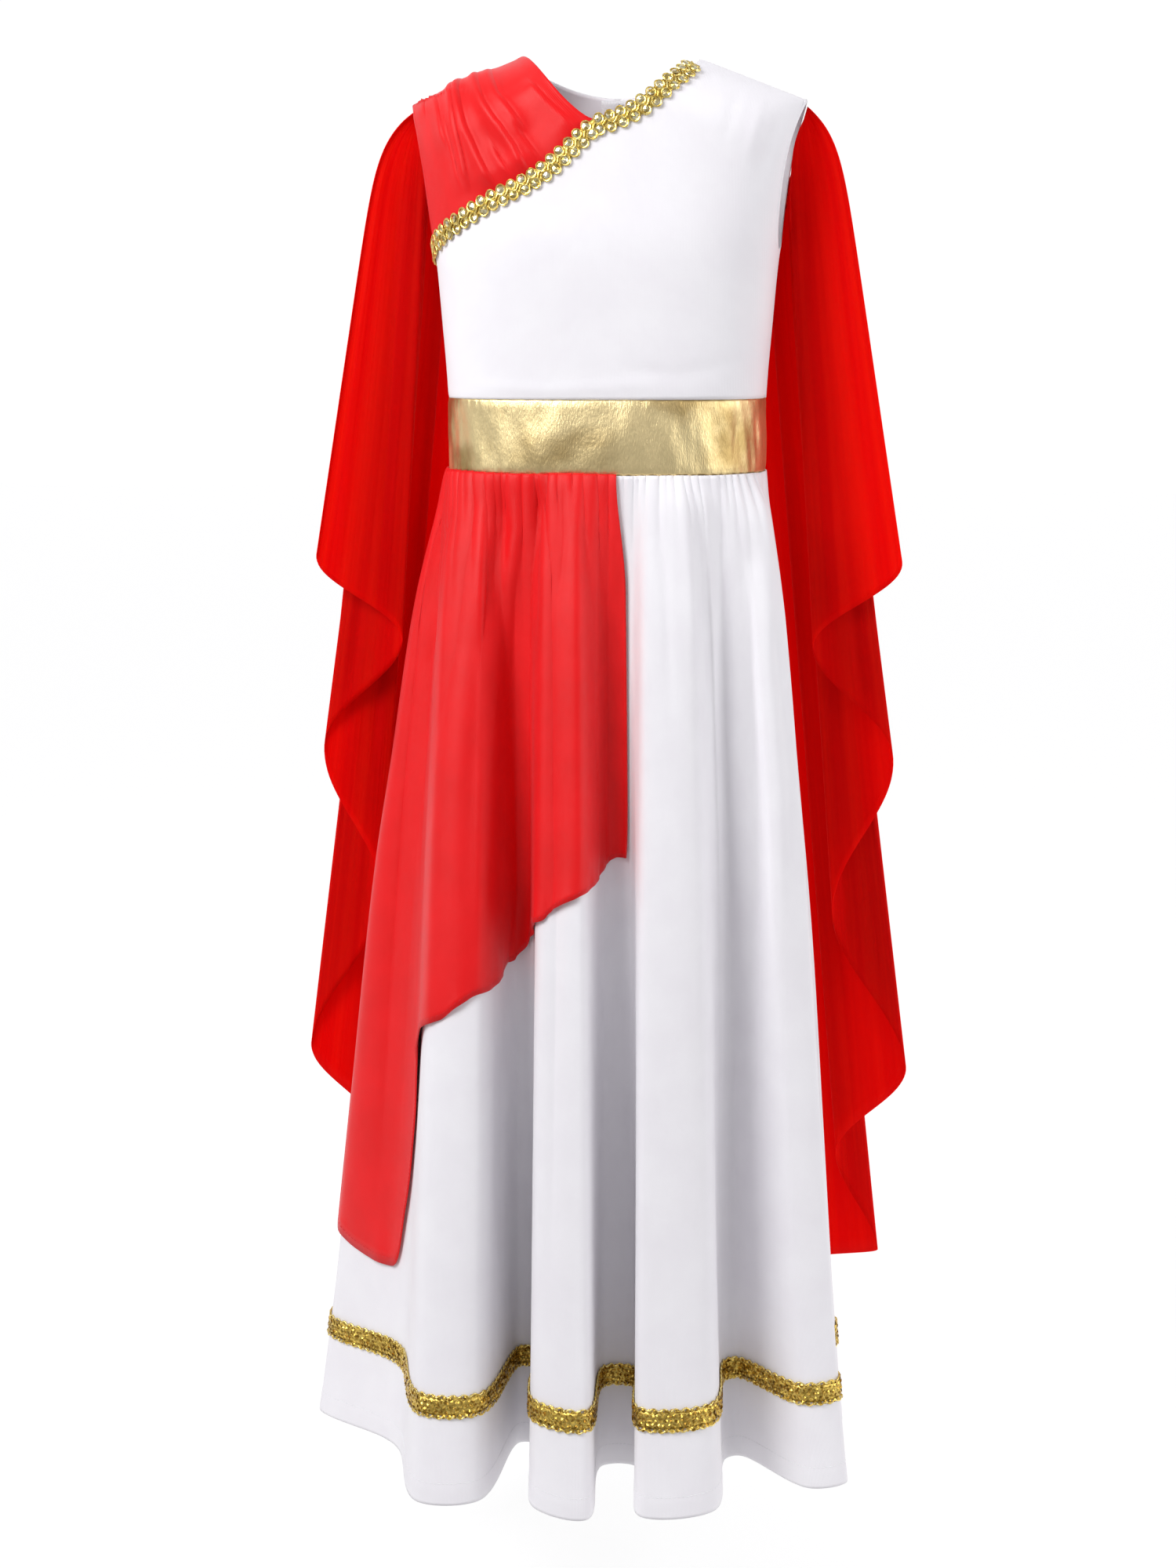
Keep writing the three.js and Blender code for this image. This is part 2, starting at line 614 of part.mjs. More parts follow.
// Drapes
// How a drape hangs between two of its fold lines: its hem and, at any height, its distance from the
// middle plane and its place front to back
function drapeHang(place) {
  const index = min(Math.floor(place), DRAPE_LINES.length - 2);
  const share = place - index;
  const swing = 0.5 - 0.5 * cos(share * PI);
  const mix = (key, weight) => lerp(DRAPE_LINES[index][key], DRAPE_LINES[index + 1][key], weight);
  const length = mix('hem', swing) - UNDERARM;
  return {
    hem: mix('hem', share),
    xAt: (z) => lerp(mix('topX', swing), mix('x', swing), (z - UNDERARM) / length),
    yAt: (z) => lerp(mix('topY', share), mix('y', share), (z - UNDERARM) / length),
  };
}

// A point of a drape. Near its top the armhole's edge holds it, further down it hangs by its fold lines.
function drapePoint(place, row, side) {
  const { hem, xAt, yAt } = drapeHang(place);
  const back = place / (DRAPE_LINES.length - 1);
  const topZ = lerp(DRAPE_TOP.first, DRAPE_TOP.last, back);
  const z = lerp(topZ, hem, DRAPE_ROWS[row]);
  const sewn = bodyPoint(1, -downTo(1, topZ));
  const heldX = exp((z - topZ) / lerp(DRAPE_TOP.fall, DRAPE_TOP.fallLast, back));
  const heldY = exp((z - topZ) / DRAPE_TOP.fall);
  let x = xAt(z) + (sewn.x + DRAPE_TOP.stand - xAt(topZ)) * heldX;
  if (side < 0) x = x * lerp(RIGHT_DRAPE.ease, 1, heldX) + RIGHT_DRAPE.spread * yAt(z) * (1 - heldY);
  return new THREE.Vector3(side * x, yAt(z) + (sewn.y - yAt(topZ)) * heldY, z);
}

function drape(side) {
  const places = [];
  for (let index = 0; index < DRAPE_LINES.length - 1; index += 1) {
    for (const step of DRAPE_STEPS) places.push(index + step);
  }
  places.push(DRAPE_LINES.length - 1);
  const points = places.map((place) => DRAPE_ROWS.map((_, row) => drapePoint(place, row, side)));
  const columns = points.map((column, i) => column.map((point, j) => {
    const along = points[min(i + 1, points.length - 1)][j].clone().sub(points[max(i - 1, 0)][j]);
    const fall = column[min(j + 1, column.length - 1)].clone().sub(column[max(j - 1, 0)]);
    return { point, normal: fall.cross(along).normalize().multiplyScalar(-side) };
  }));
  return wallGeometry(side > 0 ? columns.reverse() : columns, -CHIFFON / 2, CHIFFON);
}

// Zip: two tapes shown as one strip inside the back, from the neck to a hand's width below the band
function zipTape() {
  const nearSeam = [skirt[1], skirt[0], skirt.at(-2)];
  const columns = nearSeam.map((column) => {
    const angle = degToRad(column[0].at);
    const across = (PI - abs(angle)) / QUARTER * sign(angle);
    const body = bodyColumn(
      { across, down: -backNeckDown(0) },
      { across, down: -downTo(0, BAND_TOP) },
    );
    const band = BAND_HEIGHTS.map((z) => surfacePoint(waistPoint, angle, z, 0.01, 0.5));
    return [...body, ...band, ...column.slice(1).filter(({ point }) => point.z > TAPE.end)];
  });
  return wallGeometry(columns.reverse(), -TAPE.inside - TAPE.thick, TAPE.thick);
}

async function startBooleans() {
  const wasm = await Module();
  wasm.setup();
  return wasm;
}

const { Manifold, Mesh } = await startBooleans();

function solid(geometry) {
  const bare = geometry.clone();
  bare.deleteAttribute('normal');
  bare.deleteAttribute('uv');
  const merged = mergeVertices(bare, 1e-4);
  return new Manifold(new Mesh({
    numProp: 3,
    vertProperties: new Float32Array(merged.attributes.position.array),
    triVerts: new Uint32Array(merged.index.array),
  }));
}

function geometryOf(manifold) {
  const { vertProperties, triVerts } = manifold.getMesh();
  const geometry = new THREE.BufferGeometry();
  geometry.setAttribute('position', new THREE.BufferAttribute(vertProperties, 3));
  geometry.setIndex(new THREE.BufferAttribute(triVerts, 1));
  geometry.computeVertexNormals();
  return geometry;
}

// An upright plate with rounded ends, its back on the plane y = 0, with z up
function plate(width, length, thick) {
  const r = width / 2;
  const outline = new THREE.Shape();
  outline.absarc(0, length / 2 - r, r, 0, PI);
  outline.absarc(0, r - length / 2, r, PI, 2 * PI);
  outline.closePath();
  const options = { depth: thick, bevelEnabled: false, curveSegments: 8 };
  return new THREE.ExtrudeGeometry(outline, options).rotateX(-QUARTER);
}

function crossRod(radius, length, sides) {
  return new THREE.CylinderGeometry(radius, radius, length, sides).rotateZ(QUARTER);
}

// Slider body with two cheeks and the pin between them
function sliderGeometry() {
  const offset = SLIDER.gapHalf + SLIDER.cheek / 2;
  const cheekOf = (x) => {
    const foot = new THREE.BoxGeometry(SLIDER.cheek, PIN.out, PIN.cheekRadius * 2);
    foot.translate(x, PIN.out / 2, 0);
    const head = crossRod(PIN.cheekRadius, SLIDER.cheek, 16).translate(x, PIN.out, 0);
    return solid(foot).add(solid(head));
  };
  return geometryOf(solid(plate(SLIDER.width, SLIDER.length, SLIDER.thick))
    .add(cheekOf(-offset))
    .add(cheekOf(offset))
    .add(solid(crossRod(PIN.radius, offset * 2, 12).translate(0, PIN.out, 0))));
}

// Pull tab hanging from the pin, drawn about the pin's axis
function tabGeometry() {
  const blade = plate(TAB.width, TAB.length, TAB.thick).translate(0, -TAB.thick / 2, -TAB.length / 2);
  const barrel = crossRod(TAB.barrel, TAB.width, 20);
  const bore = crossRod(TAB.bore, TAB.width * 2, 16);
  return geometryOf(solid(blade).add(solid(barrel)).subtract(solid(bore)));
}

function zipPieces() {
  const down = -downTo(0, SLIDER.height);
  const seat = bodyCell(0, down);
  const base = seat.point.clone().addScaledVector(seat.normal, WALL + SLIDER.stand);
  const lean = Math.atan2(seat.normal.z, seat.normal.y);
  const slider = add('zip_slider', sliderGeometry(), PAINT.metal);
  slider.position.copy(base);
  slider.rotation.x = lean;
  const pull = add('zip_pull', tabGeometry(), PAINT.metal);
  pull.position.copy(base).addScaledVector(seat.normal, PIN.out);
}

function bodyParts() {
  add('bodice_front', bodiceFront(), PAINT.white);
  add('bodice_back_left', bodiceBack(1), PAINT.white);
  add('bodice_back_right', bodiceBack(-1), PAINT.white);
  add('yoke', yoke(), PAINT.red);
  add('neck_trim', neckBraid(), PAINT.braid);
  add('waistband', waistband(), PAINT.lame);
}

function skirtParts() {
  add('skirt_front', skirtPanel(sideRight, sideLeft), PAINT.white);
  add('skirt_back_right', skirtPanel(0, sideRight), PAINT.white);
  add('skirt_back_left', skirtPanel(sideLeft, skirt.length - 1), PAINT.white);
  add('hem_trim', hemBraid(), PAINT.braid);
  add('overlay', overlay(), PAINT.red);
  add('zip_tape', zipTape(), PAINT.tape);
  add('wing_left', drape(1), PAINT.sheer);
  add('wing_right', drape(-1), PAINT.sheer);
}

bodyParts();
skirtParts();
zipPieces();

export default garment;
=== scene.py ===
"""A child's sleeveless toga costume, hollow as it is worn: its cloth, braids, stitches and zip."""
import math

import bpy
import numpy as np
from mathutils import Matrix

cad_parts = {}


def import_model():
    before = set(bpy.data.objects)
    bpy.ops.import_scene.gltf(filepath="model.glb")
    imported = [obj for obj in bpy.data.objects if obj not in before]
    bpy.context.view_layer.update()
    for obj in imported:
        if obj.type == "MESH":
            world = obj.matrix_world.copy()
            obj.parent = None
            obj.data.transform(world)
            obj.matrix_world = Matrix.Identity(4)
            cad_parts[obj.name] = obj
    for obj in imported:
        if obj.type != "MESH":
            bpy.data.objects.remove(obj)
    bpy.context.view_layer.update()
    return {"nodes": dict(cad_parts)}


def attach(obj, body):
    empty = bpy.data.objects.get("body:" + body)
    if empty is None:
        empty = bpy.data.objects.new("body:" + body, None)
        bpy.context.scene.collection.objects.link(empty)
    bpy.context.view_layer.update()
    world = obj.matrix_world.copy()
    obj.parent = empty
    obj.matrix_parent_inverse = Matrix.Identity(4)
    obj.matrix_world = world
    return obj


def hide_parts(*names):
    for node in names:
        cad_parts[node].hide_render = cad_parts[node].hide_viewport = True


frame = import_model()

MM = 0.001
QUARTER = math.pi / 2
RANDOM = np.random.default_rng(41)
SIDES = {-1: "right", 1: "left"}


def table(columns, *rows):
    """A short table as one array for each named column."""
    return dict(zip(columns.split(), np.array(rows, float).T))


# Sizes in millimetres, as in the solids. x runs to the wearer's left, z up, and the front faces -y.

WALL = 1.4
CLOTH = 0.9        # thickness of the jersey that shows
LIFT = WALL - CLOTH
SEAM = 0.3
BAND_TOP = -236
WAIST_SEAM = -288
HEM = -1020
UNDERARM = -132
NECK_HALF = 64.5
NECK_POINT = -2
SHOULDER_SLOPE = 0.385
SHOULDER_ROUND = 45
BACK_NECK_DROP = 19
ARMHOLE_TOP = -31
ARMHOLE_OPEN = math.radians(17)
ARMHOLE_SPREAD = 4
ARMHOLE_HEM = 8.2   # from the armhole's edge to the stitches of its hem
EDGE_REACH = 150    # millimetres for one share across, near the side edges
SQUARENESS = 0.77
TORSO_MIDDLE = (0, 0, -160)
NECK_ACROSS = 0.2292
BRAID_END = 0.2482
NECK_COLUMN_AT_BAND = 0.42

# Half the width and half the depth of the body, by height
TORSO = table(
    "z half depth",
    (20, 148, 66),
    (-27, 140, 71.5),
    (-60, 133.5, 75.5),
    (-97, 127.5, 80),
    (UNDERARM, 121.5, 84),
    (-187, 116.5, 82),
    (BAND_TOP, 113, 80),
    (WAIST_SEAM, 113, 80),
)
# The braid over the chest: the way down from the shoulder seam, by x
NECK_BRAID = table(
    "x down",
    (-122, 137),
    (-109, 130),
    (-71, 123),
    (-33, 118),
    (12, 93),
    (34, 74),
    (50, 54),
    (62, 34),
    (69, 4),
)
NECK_BRAID_FIRST = -0.99
NECK_BRAID_LAST = 0.228
YOKE_TOP = -0.2292
YOKE_BOTTOM = 0.006

# Folds round the hem, each with its crest and the valley after it: place, width and angle at the waist
FOLDS = table(
    "x y width at valley_x valley_y valley_width valley_at",
    (-42, 158, 30, -164, -74, 92, 14, -149),
    (-108, 144, 28, -134, -110, 84, 12, -120),
    (-160, 88, 26, -108, -140, 38, 16, -99),
    (-220, -14, 22, -89, -153, -76, 24, -78),
    (-94, -163, 40, -50, -52, -60, 14, -18),
    (-11, -170, 40, -7, 21, -88, 26, 5),
    (72, -159, 50, 19, 104, -62, 14, 39),
    (177, -98, 28, 63, 150, -36, 16, 82),
    (178, 20, 24, 96, 132, 50, 14, 110),
    (150, 98, 28, 124, 92, 90, 14, 142),
    (48, 160, 30, 162, 2, 94, 20, 180),
)
SKIRT_COLUMNS = 100
PLAIN_NEAR_ZIP = 20
# Share of the way out from the waist to the hem, by the share of the way down
FLARE = table(
    "down crest valley",
    (0, 0, 0),
    (0.04, 0.1, 0.06),
    (0.14, 0.26, 0.19),
    (0.3, 0.42, 0.36),
    (0.45, 0.56, 0.5),
    (0.66, 0.72, 0.68),
    (0.87, 0.88, 0.87),
    (1, 1, 1),
)
HEM_BRAID_BOTTOM = 62
HEM_BRAID_WIDTH = 18
OVERLAY_EDGE = 5
OVERLAY_LEAN = 0.7   # columns by which the free edge starts nearer the middle, at the waist
OVERLAY_LIFT = WALL + 1.6
# Height of the over-skirt's slanting hem, by the angle at the waist
OVERLAY_HEM = table(
    "at z",
    (-180, -575),
    (-149, -640),
    (-120, -730),
    (-99, -835),
    (-89, -862),
    (-78, -878),
    (-66, -705),
    (-50, -664),
    (-18, -628),
    (-9, -590),
    (5, -558),
)
# Fold lines of a drape: height of the hem, place there and place at the top
DRAPE_LINES = table(
    "hem x y top_x top_y",
    (-354, 214, 14, 177, 5),
    (-420, 150, 26, 131, 14),
    (-500, 210, 38, 157, 24),
    (-630, 167, 54, 128, 34),
    (-750, 225, 68, 144, 44),
    (-830, 172, 84, 110, 56),
    (-912, 206, 98, 118, 66),
    (-926, 158, 112, 84, 78),
)
# Heights of a drape's first and last line where it is sewn on, and how far down the seam holds them
DRAPE_TOP = {"first": -34, "last": -100, "fall": 18, "fall_last": 34, "stand": 2.7}
DRAPE_GIRTH = 560    # millimetres of cloth across a drape, for its weave
CHIFFON = 0.45      # thickness of the drapes
RIGHT_DRAPE = {"ease": 1.02, "spread": 0.27}
WAIST_RADIUS = 97   # mean, for the way round from the angle
TAPE = {"end": -352, "thick": 1.1, "inside": 2.2, "half": 14}   # beside the zip, inside the back


# Arithmetic

def smooth(start, end, value):
    t = np.clip((np.asarray(value, float) - start) / (end - start), 0, 1)
    return t * t * (3 - 2 * t)


def lerp(a, b, t):
    return a + (b - a) * t


def unit(vectors):
    return vectors / np.maximum(np.linalg.norm(vectors, axis=-1, keepdims=True), 1e-9)


def curve(at, to):
    """A smooth curve through the points of two columns."""
    if at[-1] < at[0]:
        at, to = at[::-1], to[::-1]
    i = np.arange(len(at))
    before, after = np.maximum(i - 1, 0), np.minimum(i + 1, len(at) - 1)
    slope = (to[after] - to[before]) / (at[after] - at[before])

    def read(place):
        place = np.asarray(place, float)
        k = np.clip(np.searchsorted(at, place, side="right") - 1, 0, len(at) - 2)
        span = at[k + 1] - at[k]
        t = np.clip((place - at[k]) / span, 0, 1)
        bend = slope[k] * t * (1 - t) ** 2 - slope[k + 1] * t * t * (1 - t)
        return lerp(to[k], to[k + 1], t * t * (3 - 2 * t)) + span * bend

    return read


def uneven(places, pitch):
    """Smooth random numbers from -1 to 1 along a line, one new one for each pitch."""
    count = 400
    knots = RANDOM.uniform(-1, 1, count)
    place = np.mod(np.asarray(places, float) / pitch, count - 1)
    k = place.astype(int)
    return lerp(knots[k], knots[k + 1], smooth(0, 1, place - k))


def faded(along, start, end, fade):
    """1 along a stretch and 0 beyond it, with soft ends."""
    return smooth(start, start + fade, along) * (1 - smooth(end - fade, end, along))


def swell(away, width, height):
    """A soft ridge, or a trough when height is negative, at signed distances from its middle."""
    return height * np.exp(-((away / width) ** 2))


def ridge(along, across, path, width, height, fade):
    """A swell along a path of (along, across) knots, which dies out at its ends."""
    path = np.array(path, float)
    middle = np.interp(along, path[:, 0], path[:, 1])
    return swell(across - middle, width, height) * faded(along, path[0, 0], path[-1, 0], fade)


def crease(away, before, after, height, tip=1.6):
    """A ridge with a sharp edge, or a trough with one, that eases off over its own width on either side."""
    width = np.where(away < 0, before, after)
    reach = np.sqrt(away**2 + tip**2) - tip
    return height * np.exp(-reach / width)


def fading(away, reach):
    """1 at an edge, dying out over a reach."""
    return np.exp(-away / reach)


# Body surface

body_half = curve(TORSO["z"], TORSO["half"])
body_depth = curve(TORSO["z"], TORSO["depth"])
braid_drop = curve(NECK_BRAID["x"], NECK_BRAID["down"])


def flatten(value):
    """Makes the body's plan squarer than an ellipse."""
    return np.sign(value) * np.abs(value) ** SQUARENESS


def shoulder_height(x):
    return NECK_POINT - (np.abs(x) - NECK_HALF) * SHOULDER_SLOPE


def body_angle(across, z):
    """Angle round the body from its middle line; the side edges draw back along the armholes."""
    middle = (ARMHOLE_TOP + UNDERARM) / 2
    reach = (z - middle) / ((ARMHOLE_TOP - UNDERARM) / 2)
    opening = ARMHOLE_OPEN * np.sqrt(np.clip(1 - reach**2, 0, None))
    return across * QUARTER - np.sign(across) * opening * np.abs(across) ** ARMHOLE_SPREAD


def body_x(across, z):
    return body_half(z) * flatten(np.sin(body_angle(across, z)))


def body_point(across, down):
    """The body at across, from -1 to 1 between the side edges, and down, the way from the shoulder seam.

    down is negative behind."""
    across, down = np.broadcast_arrays(np.asarray(across, float), np.asarray(down, float))
    turn = np.clip(down / SHOULDER_ROUND, -QUARTER, QUARTER)
    below = SHOULDER_ROUND * (1 - np.cos(turn)) + np.maximum(0, np.abs(down) - SHOULDER_ROUND * QUARTER)
    z = shoulder_height(0) - below
    for _ in range(8):
        z = shoulder_height(body_x(across, z)) - below
    y = -np.sin(turn) * body_depth(z) * flatten(np.cos(body_angle(across, z)))
    return np.stack([body_x(across, z), y, z], -1)


def down_to(across, z):
    """The way down from the shoulder seam to a height."""
    below = np.maximum(0, shoulder_height(body_x(across, z)) - z)
    rounded = SHOULDER_ROUND * np.arccos(np.clip(1 - below / SHOULDER_ROUND, 0, 1))
    return np.where(below >= SHOULDER_ROUND, SHOULDER_ROUND * (QUARTER - 1) + below, rounded)


def body_cells(across, down):
    """Points on the body with their outward normals."""
    u_step, v_step = 0.004, 0.4
    along_u = body_point(across + u_step, down) - body_point(across - u_step, down)
    along_v = body_point(across, down + v_step) - body_point(across, down - v_step)
    points = body_point(across, down)
    normals = unit(np.cross(along_u, along_v))
    outward = np.sum(normals * (points - TORSO_MIDDLE), -1, keepdims=True)
    return points, np.where(outward < 0, -normals, normals)


def braid_down(across):
    """The way down from the shoulder seam to the braid's line."""
    down = np.full_like(np.asarray(across, float), 60)
    for _ in range(12):
        down = braid_drop(body_point(across, down)[..., 0])
    return down


# Meshes

def new_object(name, verts, faces, material, uv=None, smooth_faces=True):
    """A mesh object from points in millimetres."""
    mesh = bpy.data.meshes.new(name)
    mesh.from_pydata((np.asarray(verts) * MM).tolist(), [], faces)
    mesh.materials.append(material)
    mesh.polygons.foreach_set("use_smooth", [smooth_faces] * len(mesh.polygons))
    if uv is not None:
        layer = mesh.uv_layers.new(name="cloth")
        corners = np.empty(len(mesh.loops), dtype=np.int32)
        mesh.loops.foreach_get("vertex_index", corners)
        layer.data.foreach_set("uv", (np.asarray(uv)[corners] * MM).ravel())
    mesh.update()
    obj = bpy.data.objects.new(name, mesh)
    bpy.context.scene.collection.objects.link(obj)
    return obj


def grid_faces(columns, rows):
    i, j = np.meshgrid(np.arange(columns - 1), np.arange(rows - 1), indexing="ij")
    a = (i * rows + j).ravel()
    return np.stack([a, a + 1, a + rows + 1, a + rows], -1)


def shell(name, points, normals, lift, thick, material, uv):
    """A closed wall of cloth on a grid, from lift to lift plus thick above the grid."""
    columns, rows = points.shape[:2]
    thick = np.broadcast_to(np.asarray(thick, float), (columns, rows))[..., None]
    outer = points + normals * (lift + thick)
    inner = points + normals * lift
    across, fall = points[1:, :-1] - points[:-1, :-1], points[:-1, 1:] - points[:-1, :-1]
    facing = np.sum(np.cross(fall, across) * normals[:-1, :-1])
    faces = grid_faces(columns, rows)
    size = columns * rows
    number = np.arange(size).reshape(columns, rows)
    rim = np.concatenate([number[0, :], number[1:, -1], number[-1, -2::-1], number[-2:0:-1, 0]])
    after = np.roll(rim, -1)
    walls = np.stack([rim, rim + size, after + size, after], -1)
    if facing < 0:
        faces, walls = faces[:, ::-1], walls[:, ::-1]
    every = np.concatenate([faces, faces[:, ::-1] + size, walls])
    verts = np.concatenate([outer.reshape(-1, 3), inner.reshape(-1, 3)])
    flat = np.stack(np.broadcast_arrays(*uv), -1).reshape(-1, 2)
    return new_object(name, verts, every.tolist(), material, np.concatenate([flat, flat]))


def grid_normals(points, like):
    """Normals of a moved grid, on the same side as those in like."""
    along = np.gradient(points, axis=0)
    fall = np.gradient(points, axis=1)
    normals = unit(np.cross(along, fall))
    return np.where(np.sum(normals * like, -1, keepdims=True) < 0, -normals, normals)


def raise_grid(points, normals, height):
    moved = points + normals * np.asarray(height)[..., None]
    return moved, grid_normals(moved, normals)


def scatter(name, shape, origins, along, out, scale, material, turn=None):
    """One mesh of many small closed shapes, each drawn in its own frame: along, sideways and out."""
    verts, faces = shape
    origins, along, out = (np.asarray(a, float).reshape(-1, 3) for a in (origins, along, out))
    count = len(origins)
    z = unit(out)
    x = unit(along - z * np.sum(along * z, -1, keepdims=True))
    y = np.cross(z, x)
    if turn is not None:
        tilt_x, tilt_y = turn
        z = unit(z + x * tilt_x[:, None] + y * tilt_y[:, None])
        x = unit(x - z * np.sum(x * z, -1, keepdims=True))
        y = np.cross(z, x)
    scale = np.broadcast_to(np.asarray(scale, float), (count,))
    local = verts[None] * scale[:, None, None]
    placed = origins[:, None] + sum(local[..., k, None] * way[:, None] for k, way in enumerate((x, y, z)))
    shift = np.arange(count) * len(verts)
    every = [[k + s for k in face] for s in shift.tolist() for face in faces]
    return new_object(name, placed.reshape(-1, 3), every, material, smooth_faces=False)


def disc_shape(radius, cup, back, sides=8):
    """A faceted sequin: a low cone on each side of its rim."""
    angle = np.arange(sides) * 2 * math.pi / sides
    rim = np.stack([radius * np.cos(angle), radius * np.sin(angle), np.zeros(sides)], -1)
    verts = np.concatenate([rim, [(0, 0, cup), (0, 0, -back)]])
    faces = [[k, (k + 1) % sides, sides] for k in range(sides)]
    faces += [[(k + 1) % sides, k, sides + 1] for k in range(sides)]
    return verts, faces


def ring_shape(radius, cord, around=12, sides=5, stretch=1.0):
    """A small loop of cord lying flat."""
    verts = []
    for i in range(around):
        turn = 2 * math.pi * i / around
        for k in range(sides):
            tilt = 2 * math.pi * k / sides
            reach = radius + cord * math.cos(tilt)
            verts.append((reach * math.cos(turn) * stretch, reach * math.sin(turn), cord * math.sin(tilt)))
    faces = []
    for i in range(around):
        for k in range(sides):
            a, b = i * sides + k, i * sides + (k + 1) % sides
            c, d = ((i + 1) % around) * sides + (k + 1) % sides, ((i + 1) % around) * sides + k
            faces.append([a, d, c, b])
    return np.array(verts), faces


def dash_shape(length, width, height):
    """One stitch: a short rounded bar of thread that dips into the cloth at both ends."""
    x, y, z = length / 2, width / 2, height
    mid = x * 0.6
    verts = [(-x, 0, -z), (x, 0, -z)]
    for px in (-mid, mid):
        verts += [(px, -y, -z / 2), (px, y, -z / 2), (px, 0, z)]
    faces = [[0, 2, 4], [0, 4, 3], [0, 3, 2], [1, 7, 5], [1, 6, 7], [1, 5, 6]]
    faces += [[2, 5, 7, 4], [4, 7, 6, 3], [3, 6, 5, 2]]
    return np.array(verts), faces


def tube(name, path, radius, sides, material):
    """A cord along a path, closed at both ends."""
    path = np.asarray(path, float)
    along = unit(np.gradient(path, axis=0))
    aslant = np.roll(along, 1, axis=1) + (0.3, 0.1, 0.2)
    up = unit(np.cross(along, aslant))
    for i in range(1, len(path)):
        up[i] = up[i - 1] - along[i] * np.dot(up[i - 1], along[i])
        up[i] /= np.linalg.norm(up[i])
    side = np.cross(along, up)
    angle = np.arange(sides) * 2 * math.pi / sides
    ring = up[:, None] * np.cos(angle)[:, None] + side[:, None] * np.sin(angle)[:, None]
    verts = (path[:, None] + radius * ring).reshape(-1, 3)
    faces = []
    for i in range(len(path) - 1):
        for k in range(sides):
            a, b = i * sides + k, i * sides + (k + 1) % sides
            faces.append([a, b, b + sides, a + sides])
    last = (len(path) - 1) * sides
    faces.append(list(range(sides))[::-1])
    faces.append(list(range(last, last + sides)))
    return new_object(name, verts, faces, material)


# Strips along a surface, for braids and rows of stitches

class Strip:
    """A narrow grid along a line, read by the way along it and the way across it, in millimetres."""

    def __init__(self, points, normals, offsets):
        self.points, self.normals, self.offsets = points, normals, np.asarray(offsets, float)
        middle = points[:, points.shape[1] // 2]
        steps = np.linalg.norm(np.diff(middle, axis=0), axis=1)
        self.arc = np.concatenate([[0], np.cumsum(steps)])
        self.length = self.arc[-1]

    def read(self, grid, along, offset):
        along, offset = np.broadcast_arrays(np.asarray(along, float), np.asarray(offset, float))
        i = np.clip(np.searchsorted(self.arc, along) - 1, 0, len(self.arc) - 2)
        s = np.clip((along - self.arc[i]) / (self.arc[i + 1] - self.arc[i]), 0, 1)[..., None]
        k = np.clip(np.searchsorted(self.offsets, offset) - 1, 0, len(self.offsets) - 2)
        t = ((offset - self.offsets[k]) / (self.offsets[k + 1] - self.offsets[k]))[..., None]
        low = lerp(grid[i, k], grid[i + 1, k], s)
        high = lerp(grid[i, k + 1], grid[i + 1, k + 1], s)
        return lerp(low, high, t)

    def place(self, along, offset, height=0.0):
        """Point, direction along the strip, and normal."""
        normal = unit(self.read(self.normals, along, offset))
        point = self.read(self.points, along, offset) + normal * np.asarray(height)[..., None]
        ahead = self.read(self.points, np.asarray(along) + 0.5, offset)
        behind = self.read(self.points, np.asarray(along) - 0.5, offset)
        return point, unit(ahead - behind), normal


def strip_of(cells, offsets):
    """A strip from (points, normals) of lines that run side by side."""
    return Strip(np.stack([c[0] for c in cells], 1), np.stack([c[1] for c in cells], 1), offsets)


def joined(groups):
    """Points, directions and normals of several rows as one of each."""
    return [np.concatenate(group) for group in zip(*groups)]


def jitter(most, count):
    return RANDOM.uniform(-most, most, count)


def stitches(name, strip, offset, material, pitch, height):
    """A row of stitches along a strip."""
    start, seen, width, proud = 2.0, 0.78, 0.55, 0.22
    along = np.arange(start, strip.length - start, pitch)
    along = along + jitter(0.15, len(along))
    stitch = dash_shape(pitch * seen, width, proud)
    return scatter(name, stitch, *strip.place(along, offset, height), 1, material)


# Materials

